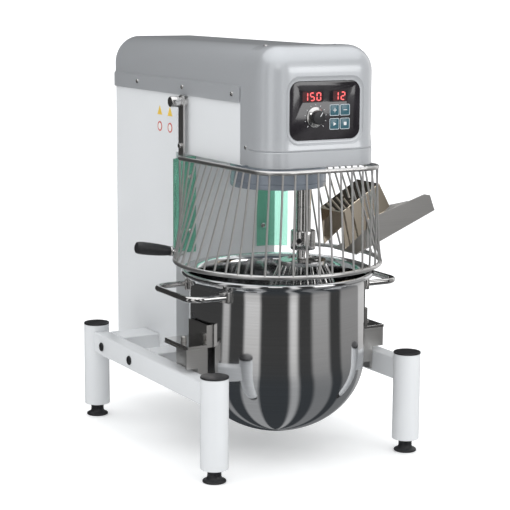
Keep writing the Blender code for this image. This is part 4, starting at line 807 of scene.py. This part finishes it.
# ---------------------------------------------------------------- guard
def build_guard():
    ax, ay, az = where("guard_arm_left")
    half = 121.0
    rear = (ay[0] + ay[1]) / 2
    front_top = -172.0
    corner = 50.0
    low_radius = 185.8
    low_height = 351.4
    wires = 39

    def top_height(y):
        return 526.0 - 0.012 * (y - rear)

    straight = rear - front_top - corner
    bend = math.pi / 2 * corner
    across = 2 * (half - corner)
    total = 2 * straight + 2 * bend + across

    def top_point(share):
        run = min(share, 1 - share) * total
        if run < straight:
            x, y = -half, rear - run
        elif run < straight + bend:
            angle = (run - straight) / corner
            x = -half + corner * (1 - math.cos(angle))
            y = front_top + corner * (1 - math.sin(angle))
        else:
            x, y = -half + corner + run - straight - bend, front_top
        return Vector((x if share <= 0.5 else -x, y, top_height(y)))

    half_open = math.degrees(math.asin(122.0 / low_radius))

    def low_point(share):
        angle = math.radians(90 + half_open + share * (360 - 2 * half_open))
        return Vector((low_radius * math.cos(angle), low_radius * math.sin(angle), low_height))

    shape = bmesh.new()
    tube(shape, [top_point(step / 160) for step in range(161)], 4.0, 16)
    tube(shape, [low_point(step / 160) for step in range(161)], 4.0, 16)
    for end in (low_point(0), low_point(1)):
        lathe(shape, [(0, -4), (4.6, -4), (4.6, 4), (0, 4)], 20, end, (0, 0, 1))
    (tx0, tx1), (ty0, ty1), tz = where("chute_trough")
    for index in range(wires):
        share = min(max(index / (wires - 1), 0.004), 0.996)
        upper, lower = top_point(share), low_point(share)
        out = Vector((lower.x, lower.y, 0)).normalized() * 1.6
        upper, lower = upper + out, lower + out
        spans = wire_spans(upper, lower, (ty0 - 3, ty1 + 3))
        for start, end in spans:
            tube(shape, [lower.lerp(upper, start), lower.lerp(upper, end)], 1.9, 10)
    piece(("guard_wires", shape), WIRE, "guard", [f"guard_cage_{i}" for i in range(1, 6)])

    for label, side in SIDES:
        dress(f"guard_arm_{label}", SATIN, 0.6)
        arm_x, arm_y, arm_z = where(f"guard_arm_{label}")
        outer = max(abs(arm_x[0]), abs(arm_x[1]))
        pivot = (side * outer, rear, 630)
        shape = bmesh.new()
        profile = [(0, -22), (5.6, -22), (5.6, -3.8), (5.6, 0.4), (10.5, 0.4), (10.5, 2.0), (8.5, 3.0)]
        profile += [(8.5, 5.0)]
        profile += [(10.0, 6.2), (10.0, 20.6), (9.2, 22.0), (0, 22.3)]
        lathe(shape, profile, 40, pivot, (side, 0, 0))
        lathe(shape, [(6.2, -11.0), (9.0, -11.0), (9.0, -4.4), (6.2, -4.4)], 32, pivot, (side, 0, 0))
        piece((f"pivot_{label}", shape), STEEL, "frame", [f"guard_pivot_{label}"])
        shape = bmesh.new()
        hex_head(shape, (side * outer, rear, 549), (side, 0, 0), 9, 4.5)
        piece((f"arm_bolt_{label}", shape), STEEL, "guard")
    build_grip()
    dress("chute_trough", SATIN, 0.7)
    dress("chute_spout", MIRROR, 0.7)


def chute_lines(x):
    """Heights of the chute's floor and of the hood's roof at x."""
    floor = 363.5 + (x - 172) * (426.3 - 363.5) / (324 - 172)
    roof = 434 + (x - 118) * (482 - 434) / (198.5 - 118)
    return floor, roof


def wire_spans(upper, lower, y_span):
    """The stretches of a wire that stay clear of the chute, as shares from its lower end."""
    if upper.x < 0:
        return [(0, 1)]
    steps = 200
    inside = []
    for step in range(steps + 1):
        point = lower.lerp(upper, step / steps)
        floor, roof = chute_lines(point.x)
        inside.append(y_span[0] < point.y < y_span[1] and floor - 4 < point.z < roof + 3)
    if not any(inside):
        return [(0, 1)]
    first = inside.index(True) / steps
    last = (len(inside) - 1 - inside[::-1].index(True)) / steps
    return [(0, first), (last, 1)]


def build_grip():
    start = Vector((-169.5, 84, 366.5))
    along = Vector((-0.98, 0.10, 0.155)).normalized()
    shape = bmesh.new()
    profile = [(0, 6), (7.6, 6), (8.4, 7), (9.6, 16), (10.8, 30), (11.4, 46), (11.5, 58), (11.0, 66)]
    profile += [(9.6, 70)]
    profile += [(6.5, 71.8), (0, 72)]
    lathe(shape, profile, 48, start, along)
    piece(("grip", shape), BLACK, "guard", ["guard_grip"])
    shape = bmesh.new()
    lathe(shape, [(0, -4), (4.0, -4), (4.0, 0), (8.6, 0), (9.0, 0.6), (9.0, 5.4), (8.6, 6),
                  (0, 6)], 40, start, along)
    piece(("grip_ferrule", shape), STEEL, "guard")


# ---------------------------------------------------------------- small things on the casing
def build_marks():
    """Plain coloured patches where the casing carries small signs."""
    for name, spots, kind, material in (("patch_a", ((262, 606), (219, 606)), "triangle", YELLOW),
                                        ("patch_b", ((262, 576), (219, 576)), "ring", RED)):
        shape, ground = bmesh.new(), bmesh.new()
        for y, z in spots:
            if kind == "triangle":
                prism(shape, [(y - 10, z - 8), (y + 10, z - 8), (y, z + 9)], "x", -107.9, -107.3)
            else:
                own = bmesh.new()
                lathe(own, [(6.8, -0.3), (9.2, -0.3), (9.2, 0.4), (6.8, 0.4)], 40, (-107.5, y, z), (-1, 0, 0))
                absorb(shape, own)
                lathe(ground, [(0, -0.3), (6.9, -0.3), (6.9, 0.25), (0, 0.25)], 32,
                      (-107.5, y, z), (-1, 0, 0))
        piece((name, shape), material, "frame")
        if kind == "ring":
            piece((name + "_ground", ground), STICKER, "frame")
        else:
            ground.free()


# ---------------------------------------------------------------- carried-over inner parts
def dress_inside():
    inner = {"motor_housing": IRON, "bearing_housing": IRON, "driven_pulley": IRON, "motor_pulley": IRON,
             "drive_belt": RUBBER, "upper_bearing": GEAR, "lower_bearing": GEAR, "ring_gear": GEAR,
             "planet_pinion": GEAR, "main_shaft": GEAR, "rotor_shaft": GEAR, "spindle_bearing": GEAR}
    for node, material in inner.items():
        dress(node, material)


# ---------------------------------------------------------------- floor, lights and camera
# Bright panels of the studio, as polished metal shows them: azimuth from the front, half width, tone.
PANELS = ((-95, 5, 0.7), (-60, 10, 0.9), (-10, 5, 1.0), (25, 12, 0.5), (75, 20, 0.4), (108, 14, 0.9))
PANEL_EDGE = 4.0     # degrees over which a panel fades out
DARK_WALL = 0.04


def studio_tone(azimuth):
    """Tone of the studio at an azimuth in degrees: soft-edged bright panels on a dark wall."""
    tone = DARK_WALL
    for centre, half_width, bright in PANELS:
        inside = (half_width - abs(azimuth - centre)) / PANEL_EDGE + 0.5
        tone = max(tone, DARK_WALL + (bright - DARK_WALL) * min(max(inside, 0), 1))
    return tone


def build_reflections(scene):
    """A ring of panels and a ground that only show in reflections; the ground is a dull grey, darker still
    near the machine as a painted shadow of the machine.
    """
    shape = bmesh.new()
    tone_layer = shape.loops.layers.float_color.new("tone")
    wall_radius, wall_height = 3200, 2200
    ground = 0.5
    rows = [(2, ground), (300, ground), (1100, ground), (wall_radius, ground)]
    rows += [(wall_radius, wall_height), (2600, 2900)]
    steps = 180
    grid = []
    for radius, height in rows:
        ring = []
        for index in range(steps):
            angle = 2 * math.pi * index / steps - math.pi
            ring.append(shape.verts.new((radius * math.sin(angle), -radius * math.cos(angle), height)))
        grid.append(ring)
    for row in range(len(rows) - 1):
        for index in range(steps):
            following = (index + 1) % steps
            here, above = grid[row], grid[row + 1]
            face = shape.faces.new((here[index], here[following], above[following], above[index]))
            for loop in face.loops:
                corner = index if loop.vert in (here[index], above[index]) else index + 1
                tone = studio_tone(-180 + 360 * corner / steps)
                # Painted shadow: the ground near the machine is darkest and brightens outwards, standing in
                # for the machine's shadow on the floor as the bowl reflects it; further out it keeps a dull
                # grey.
                if loop.vert in grid[0] or loop.vert in grid[1]:
                    colour = (0.03 + 0.34 * tone, 0.035 + 0.34 * tone, 0.04 + 0.34 * tone)
                elif loop.vert in grid[2]:
                    colour = (0.03 + 0.62 * tone, 0.03 + 0.61 * tone, 0.03 + 0.60 * tone)
                else:
                    colour = (tone, tone, tone)
                loop[tone_layer] = (*colour, 1)
    for vertex in shape.verts:
        vertex.co = vertex.co / MM + AXIS
    mesh = bpy.data.meshes.new("studio_ring")
    shape.to_mesh(mesh)
    shape.free()
    material = bpy.data.materials.new("studio_ring")
    material.use_nodes = True
    nodes, links = material.node_tree.nodes, material.node_tree.links
    nodes.remove(nodes["Principled BSDF"])
    glow = nodes.new("ShaderNodeEmission")
    tone = nodes.new("ShaderNodeAttribute")
    tone.attribute_name = "tone"
    links.new(tone.outputs["Color"], glow.inputs["Color"])
    links.new(glow.outputs["Emission"], nodes["Material Output"].inputs["Surface"])
    mesh.materials.append(material)
    made = bpy.data.objects.new("studio_ring", mesh)
    scene.collection.objects.link(made)
    made.visible_camera = False
    made.visible_diffuse = False
    made.visible_shadow = False
    made.visible_transmission = False


def build_stage():
    floor_material = bpy.data.materials.new("floor")
    floor_material.use_nodes = True
    shader = floor_material.node_tree.nodes["Principled BSDF"]
    shader.inputs["Base Color"].default_value = (0.93, 0.93, 0.93, 1)
    shader.inputs["Roughness"].default_value = 0.6
    shader.inputs["Specular IOR Level"].default_value = 0.2
    shader.inputs["Emission Color"].default_value = (0.99, 1.0, 1.0, 1)
    shader.inputs["Emission Strength"].default_value = 0.26
    shape = bmesh.new()
    size = 400000
    prism(shape, [(-size, -size), (size, -size), (size, size), (-size, size)], "z", -20.0, -0.4)
    floor = link("floor", shape)
    floor.data.materials.append(floor_material)
    floor.visible_glossy = False

    scene = bpy.context.scene
    world = bpy.data.worlds.new("studio")
    world.use_nodes = True
    nodes, links = world.node_tree.nodes, world.node_tree.links
    sky = nodes["Background"]
    sky.inputs["Color"].default_value = (0.98, 0.99, 1.0, 1)
    direction = nodes.new("ShaderNodeTexCoord")
    parts = nodes.new("ShaderNodeSeparateXYZ")
    links.new(direction.outputs["Generated"], parts.inputs["Vector"])
    height = nodes.new("ShaderNodeMapRange")
    height.inputs["To Min"].default_value = 0.55
    height.inputs["To Max"].default_value = 1.50
    links.new(parts.outputs["Z"], height.inputs["Value"])
    links.new(height.outputs["Result"], sky.inputs["Strength"])
    scene.world = world

    def lamp(name, place, size, power, colour=(1, 1, 1)):
        light = bpy.data.lights.new(name, "AREA")
        light.shape = "RECTANGLE"
        light.size, light.size_y = size
        light.energy = power
        light.color = colour
        made = bpy.data.objects.new(name, light)
        scene.collection.objects.link(made)
        made.location = place
        aim = Vector((AXIS.x, AXIS.y, 0.4)) - Vector(place)
        made.rotation_euler = aim.to_track_quat("-Z", "Y").to_euler()
        return made

    lamp("key", (-1.6, -2.6, 2.2), (0.9, 0.9), 5)
    lamp("front", (1.3, -2.8, 1.3), (1.4, 1.0), 13)
    lamp("top", (0.2, 0.2, 3.0), (1.2, 1.2), 10).visible_glossy = False
    build_reflections(scene)

    lens = bpy.data.cameras.new("camera")
    lens.lens = 111.5
    lens.sensor_width = 36
    lens.clip_end = 1000
    camera = bpy.data.objects.new("camera", lens)
    scene.collection.objects.link(camera)
    azimuth, pitch, roll = (math.radians(value) for value in (-29.450, 9.715, 0.3675))
    back = Vector((math.sin(azimuth) * math.cos(pitch), -math.cos(azimuth) * math.cos(pitch),
                   math.sin(pitch)))
    right = Vector((math.cos(azimuth), math.sin(azimuth), 0))
    up = back.cross(right)
    turned_right = math.cos(roll) * right + math.sin(roll) * up
    turned_up = math.cos(roll) * up - math.sin(roll) * right
    camera.matrix_world = Matrix.Translation(Vector((-1.4218, -2.4358, 0.8416)) + AXIS) @ Matrix(
        (turned_right, turned_up, back)).transposed().to_4x4()
    scene.camera = camera
    scene.view_settings.view_transform = "Standard"


build_stage()
build_floor_frame()
build_body()
build_drive()
build_bowl()
build_panels()
build_guard()
build_marks()
dress_inside()
